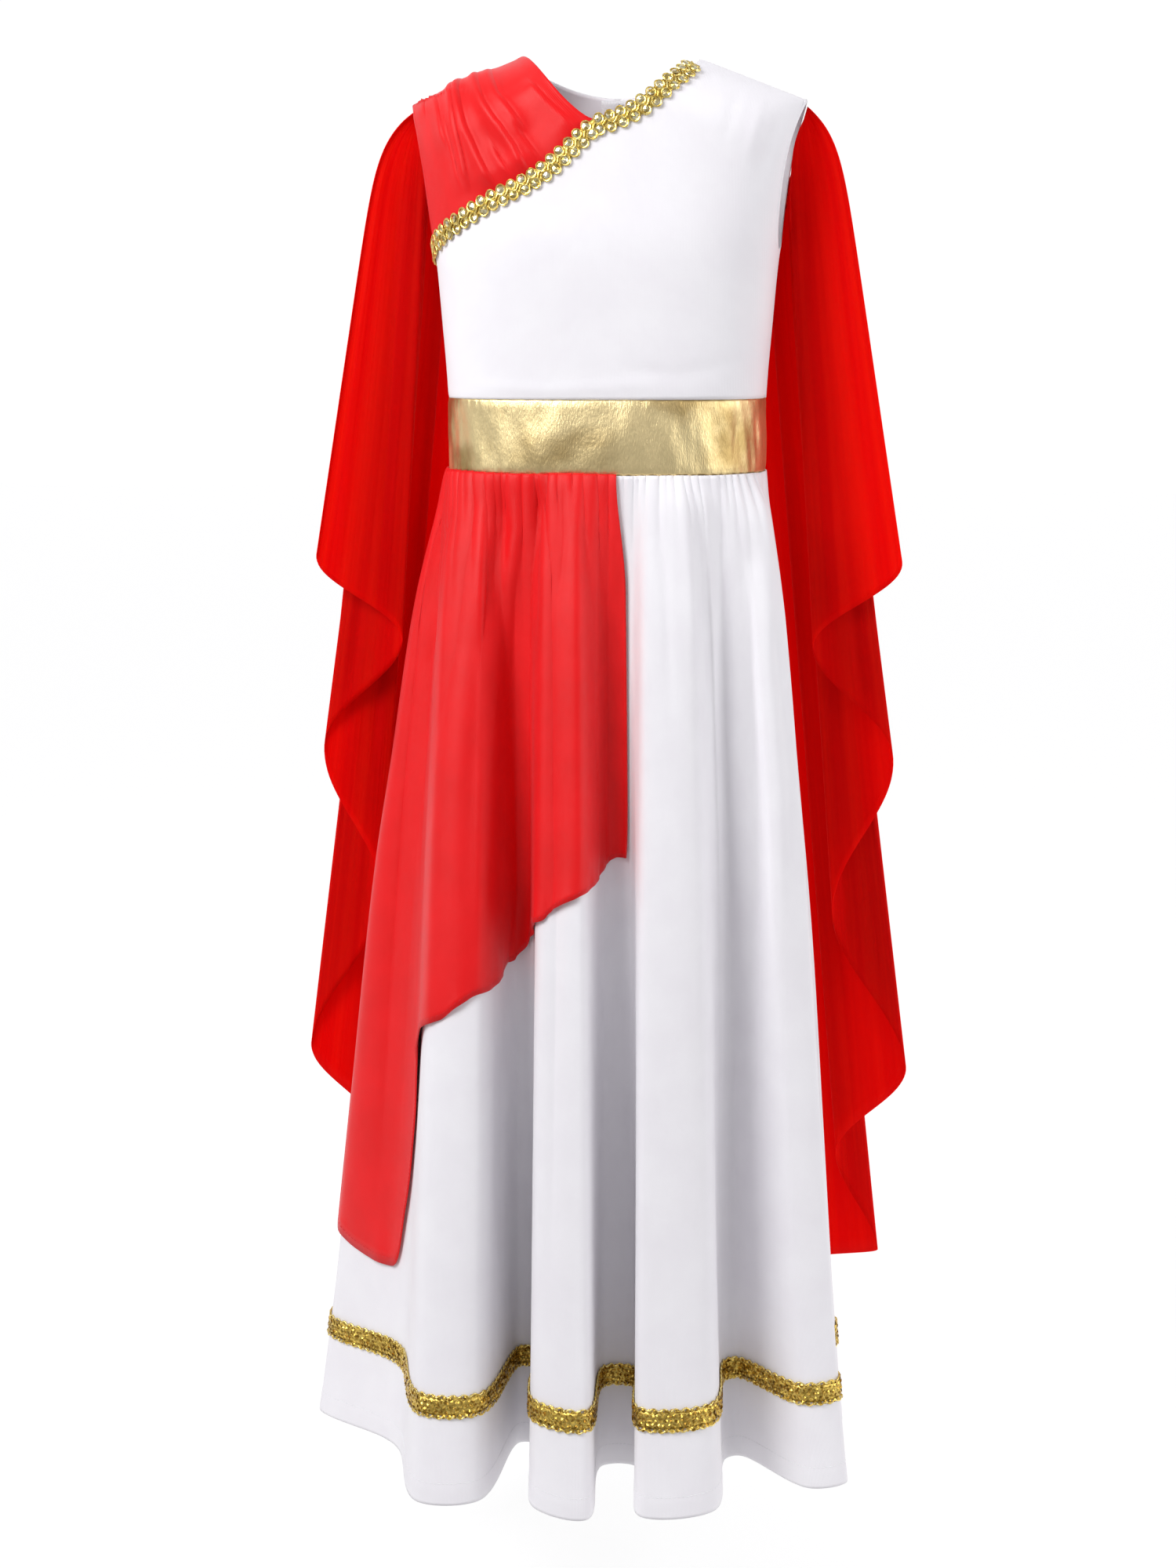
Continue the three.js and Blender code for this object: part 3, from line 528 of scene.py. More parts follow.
class Nodes:
    """Short ways to add nodes in front of a tree's last one. A source is a (node, output) pair."""

    def __init__(self, owner, last):
        owner.use_nodes = True
        self.tree = owner.node_tree
        self.last = self.tree.nodes[last]

    def new(self, kind, **values):
        node = self.tree.nodes.new(kind)
        for key, value in values.items():
            if key in node.inputs:
                node.inputs[key].default_value = value
            else:
                setattr(node, key, value)
        return node

    def link(self, source, target, name):
        node, output = source
        self.tree.links.new(node.outputs[output], target.inputs[name])

    def textured(self, kind, vector, output="Fac", **values):
        """A texture read at a vector."""
        texture = self.new(kind, **values)
        self.link(vector, texture, "Vector")
        return texture, output

    def noise(self, vector, scale, detail):
        return self.textured("ShaderNodeTexNoise", vector, Scale=scale, Detail=detail)

    def spread(self, source, low, high, to_low, to_high):
        """A value carried over from one range to another."""
        node = self.new("ShaderNodeMapRange")
        values = {"From Min": low, "From Max": high, "To Min": to_low, "To Max": to_high}
        for key, value in values.items():
            node.inputs[key].default_value = value
        self.link(source, node, "Value")
        return node, "Result"

    def tones(self, source, dark, light, low, high, blend="LINEAR"):
        """A colour from dark to light as a value goes from low to high."""
        ramp = self.new("ShaderNodeValToRGB")
        ramp.color_ramp.interpolation = blend
        for stop, place, colour in zip(ramp.color_ramp.elements, (low, high), (dark, light)):
            stop.position = place
            stop.color = (*colour, 1)
        self.link(source, ramp, "Fac")
        return ramp, "Color"

    def cloth(self, across=1, down=1):
        """The cloth's own flat coordinates, scaled to repeats for each metre."""
        mapping = self.new("ShaderNodeMapping", Scale=(across, down, 1))
        self.link((self.new("ShaderNodeUVMap", uv_map="cloth"), "UV"), mapping, "Vector")
        return mapping, "Vector"

    def solid(self):
        """The piece's own coordinates in space."""
        return self.new("ShaderNodeTexCoord"), "Object"

    def waves(self, vector, direction, **values):
        return self.textured("ShaderNodeTexWave", vector, bands_direction=direction, **values)

    def knit(self, wale):
        """Columns and courses of stitches as two crossed waves in the cloth's own coordinates."""
        flat = self.cloth()
        both = self.new("ShaderNodeMath", operation="ADD")
        self.link(self.waves(flat, "X", Scale=1 / wale / 2, Distortion=0.6, Detail=1), both, 0)
        self.link(self.waves(flat, "Y", Scale=1 / wale / 1.5, Distortion=0.6, Detail=1), both, 1)
        return both, "Value"

    def wander(self, vector, dark, light, scale, low=0.35, high=0.65, detail=3, blend="LINEAR"):
        """Base colour that wanders between two tones."""
        patches = self.noise(vector, scale, detail)
        self.link(self.tones(patches, dark, light, low, high, blend), self.last, "Base Color")

    def worn(self, source, smooth_spots, rough_spots):
        """Roughness that wanders between two values."""
        self.link(self.spread(source, 0, 1, smooth_spots, rough_spots), self.last, "Roughness")

    def bumps(self, *layers):
        """Bump layers one over another; each is (source, strength, height in metres)."""
        before = None
        for source, strength, height in layers:
            bump = self.new("ShaderNodeBump", Strength=strength, Distance=height)
            self.link(source, bump, "Height")
            if before is not None:
                self.link(before, bump, "Normal")
            before = (bump, "Normal")
        self.link(before, self.last, "Normal")


def shader(name, color, roughness, metallic=0.0, sheen=0.0, tint=(1, 1, 1), sheen_rough=0.5,
           alpha=1.0, specular=0.5, through=0.0):
    """A material and its nodes; constant numbers are set on the last node's own sockets."""
    material = bpy.data.materials.new(name)
    nodes = Nodes(material, "Principled BSDF")
    for key, value in {
        "Base Color": (*color, 1),
        "Roughness": roughness,
        "Metallic": metallic,
        "Sheen Weight": sheen,
        "Sheen Tint": (*tint, 1),
        "Sheen Roughness": sheen_rough,
        "Alpha": alpha,
        "Specular IOR Level": specular,
        "Subsurface Weight": through,
    }.items():
        nodes.last.inputs[key].default_value = value
    return material, nodes


def jersey(name, dark, light, sheen, tint, roughness, specular=0.25):
    """Fine knitted jersey with a soft sheen."""
    material, nodes = shader(
        name, light, roughness, sheen=sheen, tint=tint, sheen_rough=0.45, specular=specular
    )
    flat = nodes.cloth()
    nodes.wander(flat, dark, light, 26)
    nodes.bumps((nodes.noise(flat, 55, 4), 0.25, 0.0012), (nodes.knit(0.0011), 0.35, 0.00012))
    return material


def chiffon(name, color, dark, light):
    """Sheer plain weave with crinkled yarns along the fall. Its base colour runs in lighter streaks down the
    fall, painted highlights of fine folds.
    """
    material, nodes = shader(
        name, color, 0.6, sheen=0.15, tint=(1, 0.1, 0.08), sheen_rough=0.35, alpha=0.985,
        specular=0.04, through=0.7,
    )
    nodes.last.inputs["Subsurface Radius"].default_value = (1, 0.05, 0.02)
    nodes.last.inputs["Subsurface Scale"].default_value = 0.004
    # painted highlights: lighter streaks down the fall stand in for light on fine folds
    nodes.wander(nodes.cloth(90, 1.5), dark, light, 1, 0.4, 0.75)
    crinkle = nodes.noise(nodes.cloth(420, 7), 1, 3)
    nodes.bumps((crinkle, 0.3, 0.0012), (nodes.knit(0.0008), 0.3, 0.0001))
    return material


def lame_painted_reflection(name, color, dark, light):
    """Foil-coated jersey: crinkled across and grained down. Its base colour wanders in broad patches from
    dark bronze to pale gold, painted reflections of dark and bright surroundings.
    """
    material, nodes = shader(name, color, 0.3, metallic=1.0)
    # painted reflection: broad patches of dark bronze and pale gold in the base colour
    nodes.wander(nodes.cloth(), dark, light, 14, 0.36, 0.56, 5, "EASE")
    grain = nodes.noise(nodes.cloth(1500, 320), 1, 4)
    wrinkle = nodes.noise(nodes.cloth(70, 28), 1, 5)
    nodes.worn(grain, 0.3, 0.5)
    nodes.bumps((wrinkle, 0.35, 0.003), (grain, 0.7, 0.0004))
    return material


def glitter(name, dark, light, roughness, scale):
    """Metal thread or sequins, each a little lighter or darker than the next."""
    material, nodes = shader(name, light, roughness, metallic=0.9)
    place = nodes.solid()
    split = nodes.new("ShaderNodeSeparateColor")
    nodes.link(nodes.textured("ShaderNodeTexVoronoi", place, "Color", Scale=scale), split, "Color")
    nodes.link(nodes.tones((split, "Red"), dark, light, 0.15, 0.8), nodes.last, "Base Color")
    nodes.bumps((nodes.noise(place, 2600, 2), 0.25, 0.0003))
    return material


def thread(name, dark, light):
    """Twisted sewing thread."""
    material, nodes = shader(name, light, 0.6, sheen=0.2, specular=0.3)
    place = nodes.solid()
    nodes.wander(place, dark, light, 900)
    nodes.bumps((nodes.waves(place, "DIAGONAL", Scale=900), 0.4, 0.0001))
    return material


def nickel(name, color, dark, light):
    """Bright plated metal with fine scratches and a slightly worn tone."""
    material, nodes = shader(name, color, 0.25, metallic=1.0)
    place = nodes.solid()
    scratches = nodes.noise(place, 1800, 3)
    nodes.wander(place, dark, light, 500)
    nodes.worn(scratches, 0.18, 0.38)
    nodes.bumps((scratches, 0.2, 0.0001))
    return material


WHITE = jersey("white_jersey", (0.835, 0.815, 0.85), (0.86, 0.845, 0.875), 0.15, (1, 1, 1), 0.85)
RED = jersey("red_jersey", (0.74, 0.001, 0.002), (0.8, 0.002, 0.004), 0.14, (1, 0.5, 0.55), 0.44, 0.32)
SHEER = chiffon("red_chiffon", (0.7, 0.001, 0.0), (0.74, 0.0, 0.0), (0.92, 0.005, 0.001))
# The foil's dark bronze tone paints its dark reflections, the pale gold its bright ones.
GOLD = lame_painted_reflection("gold_lame", (0.86, 0.7, 0.4), (0.5, 0.35, 0.14), (1.0, 0.81, 0.43))
CORD_GOLD = glitter("gold_cord", (0.72, 0.5, 0.1), (0.98, 0.84, 0.34), 0.32, 700)
GEM_GOLD = glitter("gold_sequin", (0.62, 0.46, 0.12), (1.0, 0.95, 0.68), 0.14, 420)
# The hem's sequins: a darker copy of the neck's gold sequins, painted shade.
HEM_GOLD_SHADED = glitter("gold_sequin_painted_shade", (0.3, 0.16, 0.02), (0.86, 0.6, 0.12), 0.2, 520)
BASE_GOLD = glitter("gold_ribbon", (0.45, 0.3, 0.05), (0.8, 0.6, 0.16), 0.4, 900)
WHITE_THREAD = thread("white_thread", (0.72, 0.72, 0.75), (0.84, 0.84, 0.86))
RED_THREAD = thread("red_thread", (0.5, 0.0, 0.01), (0.7, 0.02, 0.03))
TAPE_CLOTH = thread("zip_tape", (0.7, 0.7, 0.72), (0.8, 0.8, 0.82))
METAL = nickel("zip_nickel", (0.74, 0.74, 0.76), (0.6, 0.6, 0.62), (0.82, 0.82, 0.84))


def belongs(obj, node=None, body="garment"):
    """The piece rides on the garment and may stand for a solid."""
    if node is not None:
        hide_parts(node)
    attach(obj, body)
    return obj


# Bodice

def bodice_grid(neck, neck_end, neck_down, first_below, per_shoulder=40, rows=80):
    """Columns from the neck edge and the shoulder seam to the waistband, which leave the neck at a slant."""
    t = np.arange(len(neck)) / len(neck)
    s = np.arange(per_shoulder + 1) / per_shoulder
    top = np.concatenate([neck, lerp(neck_end, 1, s)])[:, None]
    top_down = np.concatenate([neck_down, np.full(len(s), SEAM / 2)])[:, None]
    below = [lerp(first_below, NECK_COLUMN_AT_BAND, t), lerp(NECK_COLUMN_AT_BAND, 1, s)]
    bottom = np.concatenate(below)[:, None]
    share = np.linspace(0, 1, rows)
    across = lerp(top, bottom, 1 - (1 - share) ** 3)
    return across, lerp(top_down, down_to(bottom, BAND_TOP), share)


def armhole_hem(across, z):
    """The turned hem along an armhole stands a little proud, and ends in a stitched line."""
    inside = (1 - np.abs(across)) * EDGE_REACH
    turned = 0.45 * (1 - smooth(7, 9, inside)) - swell(inside - ARMHOLE_HEM, 1.1, 0.35)
    return turned * smooth(UNDERARM - 6, UNDERARM + 6, z)


def side_dip(across, z):
    """The cloth turns in towards the side seam below the armhole."""
    return swell(1 - np.abs(across), 0.015, -0.5) * (z < UNDERARM)


# Soft creases of the bodice: along z or x, the line as (way down, x) or (x, way down) knots, then width,
# height and fade
FRONT_CREASES = [
    ("z", [(34, 128), (60, 118), (96, 109)], 5, -1.1, 22),
    ("z", [(30, 113), (52, 108), (80, 101)], 4, 0.8, 18),
    ("z", [(120, 106), (160, 103), (206, 104)], 7, -1.0, 30),
    ("z", [(24, 96), (46, 92), (66, 88)], 4, -0.7, 14),
    ("x", [(-96, 226), (-30, 229), (60, 224)], 4, 0.5, 36),
    ("x", [(10, 214), (60, 219), (108, 208)], 5, -0.5, 30),
    ("z", [(140, -108), (170, -104), (214, -106)], 6, -0.8, 26),
]


def back_creases(side):
    return [
        ("z", [(30, 118), (60, 108), (104, 100)], 5, -1.0, 22),
        ("z", [(120, 12), (176, 16), (232, 12)], 5, 0.6, 30),
        ("x", [(8, 214 + 4 * side), (44, 219), (90, 212 - 3 * side)], 5, -0.7, 24),
        ("x", [(2, 196), (30, 201 + 2 * side), (64, 204)], 4, 0.5, 18),
    ]


def crease_height(x, z, rows):
    """Height of the creases in a list."""
    height = np.zeros(x.shape)
    for way, *rest in rows:
        height += ridge(-z, x, *rest) if way == "z" else ridge(x, -z, *rest)
    return height


def bodice_front(per_braid=84):
    """The white front, cut off by the diagonal braid."""
    neck = lerp(-1, BRAID_END, 1 - (1 - np.arange(per_braid) / per_braid) ** 1.4)
    across, down = bodice_grid(neck, BRAID_END, braid_down(neck) + SEAM, -1)
    points, normals = body_cells(across, down)
    x, z = points[..., 0], points[..., 2]
    share = np.linspace(0, 1, across.shape[1])[None]
    height = crease_height(x, z, FRONT_CREASES) + armhole_hem(across, z) + side_dip(across, z)
    height = height + swell(1 - share, 0.02, -0.5)
    points, normals = raise_grid(points, normals, height)
    cloth = shell("bodice_front_cloth", points, normals, LIFT, CLOTH, WHITE, (x, down))
    belongs(cloth, "bodice_front")


def back_neck_down(across):
    """The way down behind from the shoulder seam to the neck's edge, which dips in the middle."""
    z = np.full_like(across, NECK_POINT)
    for _ in range(8):
        x = body_x(across, z)
        z = NECK_POINT - BACK_NECK_DROP * (1 - (x / NECK_HALF) ** 2)
    return np.maximum(SEAM / 2, down_to(across, z))


def bodice_back(side, per_neck=26):
    """One half of the white back, beside the zip."""
    neck = NECK_ACROSS * np.sin(np.arange(per_neck) / per_neck * QUARTER)
    across, down = bodice_grid(neck, NECK_ACROSS, back_neck_down(neck), 0)
    points, normals = body_cells(side * across, -down)
    points[0, :, 0] += side * SEAM / 2
    x, z = points[..., 0] * side, points[..., 2]
    height = armhole_hem(across, z) + side_dip(across, z) + crease_height(x, z, back_creases(side))
    height += swell(x, 5, 0.5) - swell(x, 1.6, 0.6)
    points, normals = raise_grid(points, normals, height)
    cloth = shell(f"bodice_back_{SIDES[side]}_cloth", points, normals, LIFT, CLOTH, WHITE, (x, down))
    belongs(cloth, f"bodice_back_{SIDES[side]}")


# Sharp folds of the yoke: each edge as (share down, share from the armhole), then how far it eases off
# before and after the edge and its height, in millimetres
YOKE_EDGES = [
    ([(0.03, 0.700), (0.16, 0.690), (0.34, 0.674), (0.54, 0.671), (0.75, 0.690), (0.95, 0.715)], 11, 4, 5.6),
    ([(0.03, 0.775), (0.24, 0.780), (0.47, 0.786), (0.63, 0.818), (0.78, 0.835), (0.97, 0.840)], 10, 5, 6.2),
    ([(0.05, 0.845), (0.31, 0.843), (0.44, 0.846), (0.59, 0.872), (0.74, 0.884)], 9, 5, 4.6),
    ([(0.02, 0.640), (0.14, 0.638), (0.32, 0.640), (0.63, 0.616), (0.88, 0.600)], 7, 4, 3.2),
    ([(0.45, 0.955), (0.63, 0.968), (0.81, 0.978), (0.97, 0.980)], 12, 4, 3.4),
    ([(0.66, 0.752), (0.80, 0.765), (0.96, 0.792)], 6, 3, 2.4),
    ([(0.62, 0.860), (0.78, 0.870), (0.96, 0.888)], 6, 3, 2.2),
    ([(0.02, 0.470), (0.12, 0.475), (0.36, 0.515), (0.60, 0.530)], 8, 4, 2.0),
    ([(0.02, 0.330), (0.16, 0.345), (0.34, 0.360)], 6, 4, 1.2),
    ([(0.40, 0.560), (0.60, 0.560), (0.85, 0.550)], 6, 5, 1.2),
]


def yoke_height(share, down, spacing):
    """Folds above the yoke's plain surface; spacing is the millimetres for one share across."""
    height = np.full(share.shape, 0.5)
    for path, before, after, rise in YOKE_EDGES:
        path = np.array(path)
        away = (share - np.interp(down, path[:, 0], path[:, 1])) * spacing
        shown = faded(down, path[0, 0] - 0.02, path[-1, 0] + 0.02, 0.14)
        height = height + (crease(away, before, after, rise) - swell(away - 2.6, 1.2, 0.7)) * shown
    fade = (1 - smooth(0.92, 0.995, down)) * smooth(0.05, 0.12, share) * (0.1 + 0.9 * smooth(0.06, 0.3, down))
    return np.maximum(height * fade, -0.4)


def yoke(columns=300, rows=64):
    """The red draped front shoulder, pleated from the shoulder seam to the braid."""
    share, down = np.meshgrid(np.linspace(0, 1, columns + 1), np.linspace(0, 1, rows), indexing="ij")
    bottom = lerp(-1, YOKE_BOTTOM, share)
    across = lerp(lerp(-1, YOKE_TOP, share), bottom, down)
    fall = lerp(SEAM / 2, braid_down(bottom) - SEAM, down)
    points, normals = body_cells(across, fall)
    hem = 0.5 * (1 - smooth(0.035, 0.045, share)) - swell(share - 0.04, 0.006, 0.35)
    roll = 0.5 * (1 - smooth(0.0, 0.03, 1 - share)) * (1 - smooth(0.8, 0.95, down))
    spacing = np.linalg.norm(np.gradient(points, axis=0), axis=-1) * columns
    points, normals = raise_grid(points, normals, yoke_height(share, down, spacing) + hem + roll)
    cloth = shell("yoke_cloth", points, normals, LIFT, CLOTH, RED, (share * 230, fall))
    belongs(cloth, "yoke")
    edge = strip_of([(points[k] + normals[k] * WALL, normals[k]) for k in (0, 4, 8, 12)], [0, 3, 6, 9])
    for k, offset in enumerate((4.2, 7.4)):
        row = stitches(f"yoke_armhole_stitches_{k + 1}", edge, offset, RED_THREAD, 2.8, 0.0)
        belongs(row)


# Braids

def move_on_body(across, down, way):
    """The place on the body that lies a short way off another, in the surface."""
    step = 0.01
    u = (body_point(across + step, down) - body_point(across - step, down)) / (2 * step)
    v = (body_point(across, down + 1) - body_point(across, down - 1)) / 2
    uu, vv, uv = (np.sum(a * b, -1) for a, b in ((u, u), (v, v), (u, v)))
    uw, vw = np.sum(u * way, -1), np.sum(v * way, -1)
    area = uu * vv - uv * uv
    return across + (uw * vv - vw * uv) / area, down + (vw * uu - uw * uv) / area


def neck_strip(steps=180):
    """A strip on the body along the diagonal braid."""
    across = np.linspace(NECK_BRAID_FIRST, NECK_BRAID_LAST, steps + 1)
    down = braid_down(across)
    middle, normals = body_cells(across, down)
    sideways = unit(np.cross(normals, np.gradient(middle, axis=0)))
    offsets = np.linspace(-7.5, 7.5, 7)
    places = [move_on_body(across, down, sideways * offset) for offset in offsets]
    cells = [body_cells(*place) for place in places]
    return strip_of(cells, offsets)


def wave_path(strip, pitch, offset, swing, height, phase=0.0, step=0.6):
    """A cord's path that swings from side to side along a strip."""
    along = np.arange(0.4, strip.length - 0.4, step)
    turn = 2 * math.pi * along / pitch + phase
    lift = height + 0.3 * np.cos(turn)
    return strip.place(along, offset + swing * np.sin(turn), lift)[0]


def ribbon(name, strip, half, lift, thick, node):
    """The woven base of a braid."""
    keep = np.abs(strip.offsets) <= half + 0.01
    points, normals = strip.points[:, keep], strip.normals[:, keep]
    uv = (strip.arc[:, None], strip.offsets[keep][None])
    base = shell(name, points, normals, lift, thick, BASE_GOLD, uv)
    return belongs(base, node)


def neck_braid():
    """Two rows of clear-gold sequins, each in a loop of gold cord, on a narrow woven base."""
    strip = neck_strip()
    base = ribbon("neck_braid_base", strip, 5.0, 2.0, 0.7, "neck_trim")
    pitch, height, reach = 8.2, 3.3, 3.7
    loops, gems = [], []
    for row, shift in ((-reach, 0.0), (reach, 0.1)):
        along = np.arange(4 + shift * pitch, strip.length - 3.2, pitch)
        along = along + jitter(0.3, len(along))
        off = row + jitter(0.25, len(along))
        loops.append(strip.place(along, off, height))
        gems.append(strip.place(along, off, height + 0.15))
    loops, gems = joined(loops), joined(gems)
    count = len(loops[0])
    tilt = (jitter(0.12, count), jitter(0.12, count))
    rings = scatter("neck_braid_loops", ring_shape(3.3, 0.6), *loops, 1.0, CORD_GOLD, tilt)
    tilt = (jitter(0.3, count), jitter(0.3, count))
    stones = scatter("neck_braid_sequins", disc_shape(2.6, 0.9, 0.5), *gems, 1.0, GEM_GOLD, tilt)
    inner = scatter("neck_braid_inner_loops", ring_shape(3.9, 0.35, 14, 4, 0.86), *loops, 1.0, CORD_GOLD)
    zigzag = tube("neck_braid_cord", wave_path(strip, pitch, 0, 1.5, height), 0.75, 6, CORD_GOLD)
    for piece in (rings, stones, inner, zigzag):
        belongs(piece)


# Waistband

def waist_point(angle, z):
    angle, z = np.broadcast_arrays(np.asarray(angle, float), np.asarray(z, float))
    return np.stack([body_half(z) * flatten(np.sin(angle)), -body_depth(z) * flatten(np.cos(angle)), z], -1)


def waist_cells(angle, z):
    turn, rise = 0.01, 0.5
    along = waist_point(angle + turn, z) - waist_point(angle - turn, z)
    up = waist_point(angle, z + rise) - waist_point(angle, z - rise)
    return waist_point(angle, z), unit(np.cross(along, up))


def waistband(columns=420, rows=30):
    """The crinkled gold band, open at the centre back."""
    angle = np.linspace(-math.pi, math.pi, columns + 1)[:, None]
    share = np.linspace(0, 1, rows)[None]
    z = lerp(BAND_TOP - SEAM, WAIST_SEAM, share)
    points, normals = waist_cells(angle, z)
    points[0, :, 0] -= SEAM / 2
    points[-1, :, 0] += SEAM / 2
    arc = angle * WAIST_RADIUS
    bow = np.sin(share * math.pi)                       # 1 half way up, 0 at both edges
    plain = smooth(0.1, 0.3, math.pi - np.abs(angle))   # 0 beside the zip
    ripple = np.sin(angle * 23 + 2 * np.sin(angle * 5)) * np.sin(angle * 9 + (1 - share) * 4)
    fine = uneven(arc + 9 * share, 4.2) * uneven(arc * 0.7 - 14 * share, 9)
    puckers = uneven(arc, 3.1) * (fading(share, 0.12) + fading(1 - share, 0.12))
    edges = swell(share, 0.05, -0.55) + swell(1 - share, 0.05, -0.55)
    broad = np.sin(angle * 3.1 + 0.6 + 1.2 * share)
    middle = bow * (0.7 * ripple * plain + 0.28 * fine + 0.9 * broad * plain + 0.5)
    points, normals = raise_grid(points, normals, middle + 0.3 * puckers + edges)
    cloth = shell("waistband_cloth", points, normals, LIFT, CLOTH, GOLD, (arc, z))
    belongs(cloth, "waistband")


# Skirt

def fold_knots():
    """Two corners at each crest and two at each valley of the hem's plan, with their waist angles."""
    f = FOLDS
    crest, valley = np.stack([f["x"], f["y"]], 1), np.stack([f["valley_x"], f["valley_y"]], 1)
    crest_way = unit(valley - np.roll(valley, 1, 0)) * f["width"][:, None] / 2
    valley_way = unit(np.roll(crest, -1, 0) - crest) * f["valley_width"][:, None] / 2
    at, valley_at = f["at"], f["valley_at"]
    last_at, next_at = np.roll(valley_at, 1), np.roll(at, -1)
    last_at[0] -= 360
    next_at[-1] += 360
    corners = [
        (crest - crest_way, lerp(at, last_at, 0.3), 1),
        (crest + crest_way, lerp(at, valley_at, 0.3), 1),
        (valley - valley_way, lerp(valley_at, at, 0.15), 0),
        (valley + valley_way, lerp(valley_at, next_at, 0.15), 0),
    ]
    rows = [np.column_stack([place, angle, np.full(len(at), share)]) for place, angle, share in corners]
    return np.stack(rows, 1).reshape(-1, 4)


def closed_spline(corners, place):
    """A closed centripetal curve through corners; place counts corners."""
    count = len(corners)
    k = np.floor(place).astype(int)
    w = (place - k)[:, None]
    p0, p1, p2, p3 = (corners[(k + d) % count] for d in (-1, 0, 1, 2))
    steps = (p1 - p0, p2 - p1, p3 - p2)
    d0, d1, d2 = (np.linalg.norm(step, axis=1, keepdims=True) ** 0.5 for step in steps)
    t1 = ((p1 - p0) / d0 - (p2 - p0) / (d0 + d1) + (p2 - p1) / d1) * d1
    t2 = ((p2 - p1) / d1 - (p3 - p1) / (d1 + d2) + (p3 - p2) / d2) * d1
    return p1 + t1 * w + (-3 * p1 + 3 * p2 - 2 * t1 - t2) * w**2 + (2 * p1 - 2 * p2 + t1 + t2) * w**3


def skirt_table(per_knot=40):
    """Waist angle, hem point and share of a crest at each even step of cost round the skirt."""
    knots = fold_knots()
    count = len(knots)
    i = np.arange(count * per_knot + 1)
    place = i / per_knot + count - 1.5
    index = np.floor(place).astype(int) % count
    share = place - np.floor(place)
    start, end = knots[index], knots[(index + 1) % count]
    end_at = end[:, 2] + np.where(end[:, 2] < start[:, 2] - 180, 360, 0)
    at = lerp(start[:, 2], end_at, share) - np.where(i < 1.5 * per_knot, 360, 0)
    hem = closed_spline(knots[:, :2], place % count)
    crest = lerp(start[:, 3], end[:, 3], smooth(0, 1, share))
    length = np.concatenate([[0], np.cumsum(np.linalg.norm(np.diff(hem, axis=0), axis=1))])
    cost = 0.5 * length / length[-1] + 0.5 * (at + 180) / 360
    return {"cost": cost, "at": at, "x": hem[:, 0], "y": hem[:, 1], "crest": crest, "length": length}


PLAN = skirt_table()
crest_flare = curve(FLARE["down"], FLARE["crest"])
valley_flare = curve(FLARE["down"], FLARE["valley"])
overlay_hem = curve(OVERLAY_HEM["at"], OVERLAY_HEM["z"])


def plan_at(column, key):
    """A value of the skirt's plan at a column."""
    return np.interp(column / SKIRT_COLUMNS, PLAN["cost"], PLAN[key])


def side_column(limit):
    """First whole column past an angle at the waist, where the solids have their seam."""
    columns = np.arange(SKIRT_COLUMNS + 1)
    return int(columns[plan_at(columns, "at") > limit][0])


RIGHT_SEAM, LEFT_SEAM = side_column(-90), side_column(90)


def skirt_plain(column, z):
    """The skirt's middle surface without gathers, at columns from 0 to 100 and heights."""
    column, z = np.broadcast_arrays(np.asarray(column, float), np.asarray(z, float))
    down = (WAIST_SEAM - z) / (WAIST_SEAM - HEM)
    flare = lerp(valley_flare(down), crest_flare(down), plan_at(column, "crest"))
    waist = waist_point(np.radians(plan_at(column, "at")), np.full_like(z, WAIST_SEAM))
    x = lerp(waist[..., 0], plan_at(column, "x"), flare)
    y = lerp(waist[..., 1], plan_at(column, "y"), flare)
    return np.stack([x, y, z], -1)


# Sharp folds of the skirt and the over-skirt. Each has its line as (height, column) knots, then how far
# it eases off on the wearer's right and left of the edge and its height, in millimetres. A negative
# height is a trough.
SHARP_FOLDS = [
    (
        [(-291, 47.4), (-319, 48.3), (-357, 49.0), (-422, 49.2), (-595, 49.4), (-890, 49.35), (-1000, 49.3)],
        9, 16, -5.0,
    ),
    ([(-291, 50.0), (-330, 50.0), (-352, 49.85), (-392, 49.4)], 4, 8, -2.2),
    ([(-291, 39.1), (-327, 38.1), (-357, 37.6), (-409, 36.9), (-500, 34.6)], 8, 14, -3.4),
    (
        [(-291, 35.1), (-325, 34.3), (-347, 31.5), (-425, 29.4), (-513, 30.0), (-570, 30.6), (-650, 31.8)],
        6, 16, -3.6,
    ),
    (
        [(-291, 31.0), (-316, 28.4), (-349, 27.9), (-438, 28.2), (-593, 28.6), (-746, 28.9), (-880, 29.1)],
        4, 9, -3.2,
    ),
    ([(-291, 60.8), (-315, 60.7), (-341, 60.9), (-470, 61.3)], 6, 5, 2.0),
    (
        [(-290, 63.2), (-302, 63.9), (-325, 64.15), (-391, 64.4), (-617, 64.4), (-727, 64.3), (-920, 64.3)],
        16, 14, 6.0,
    ),
]
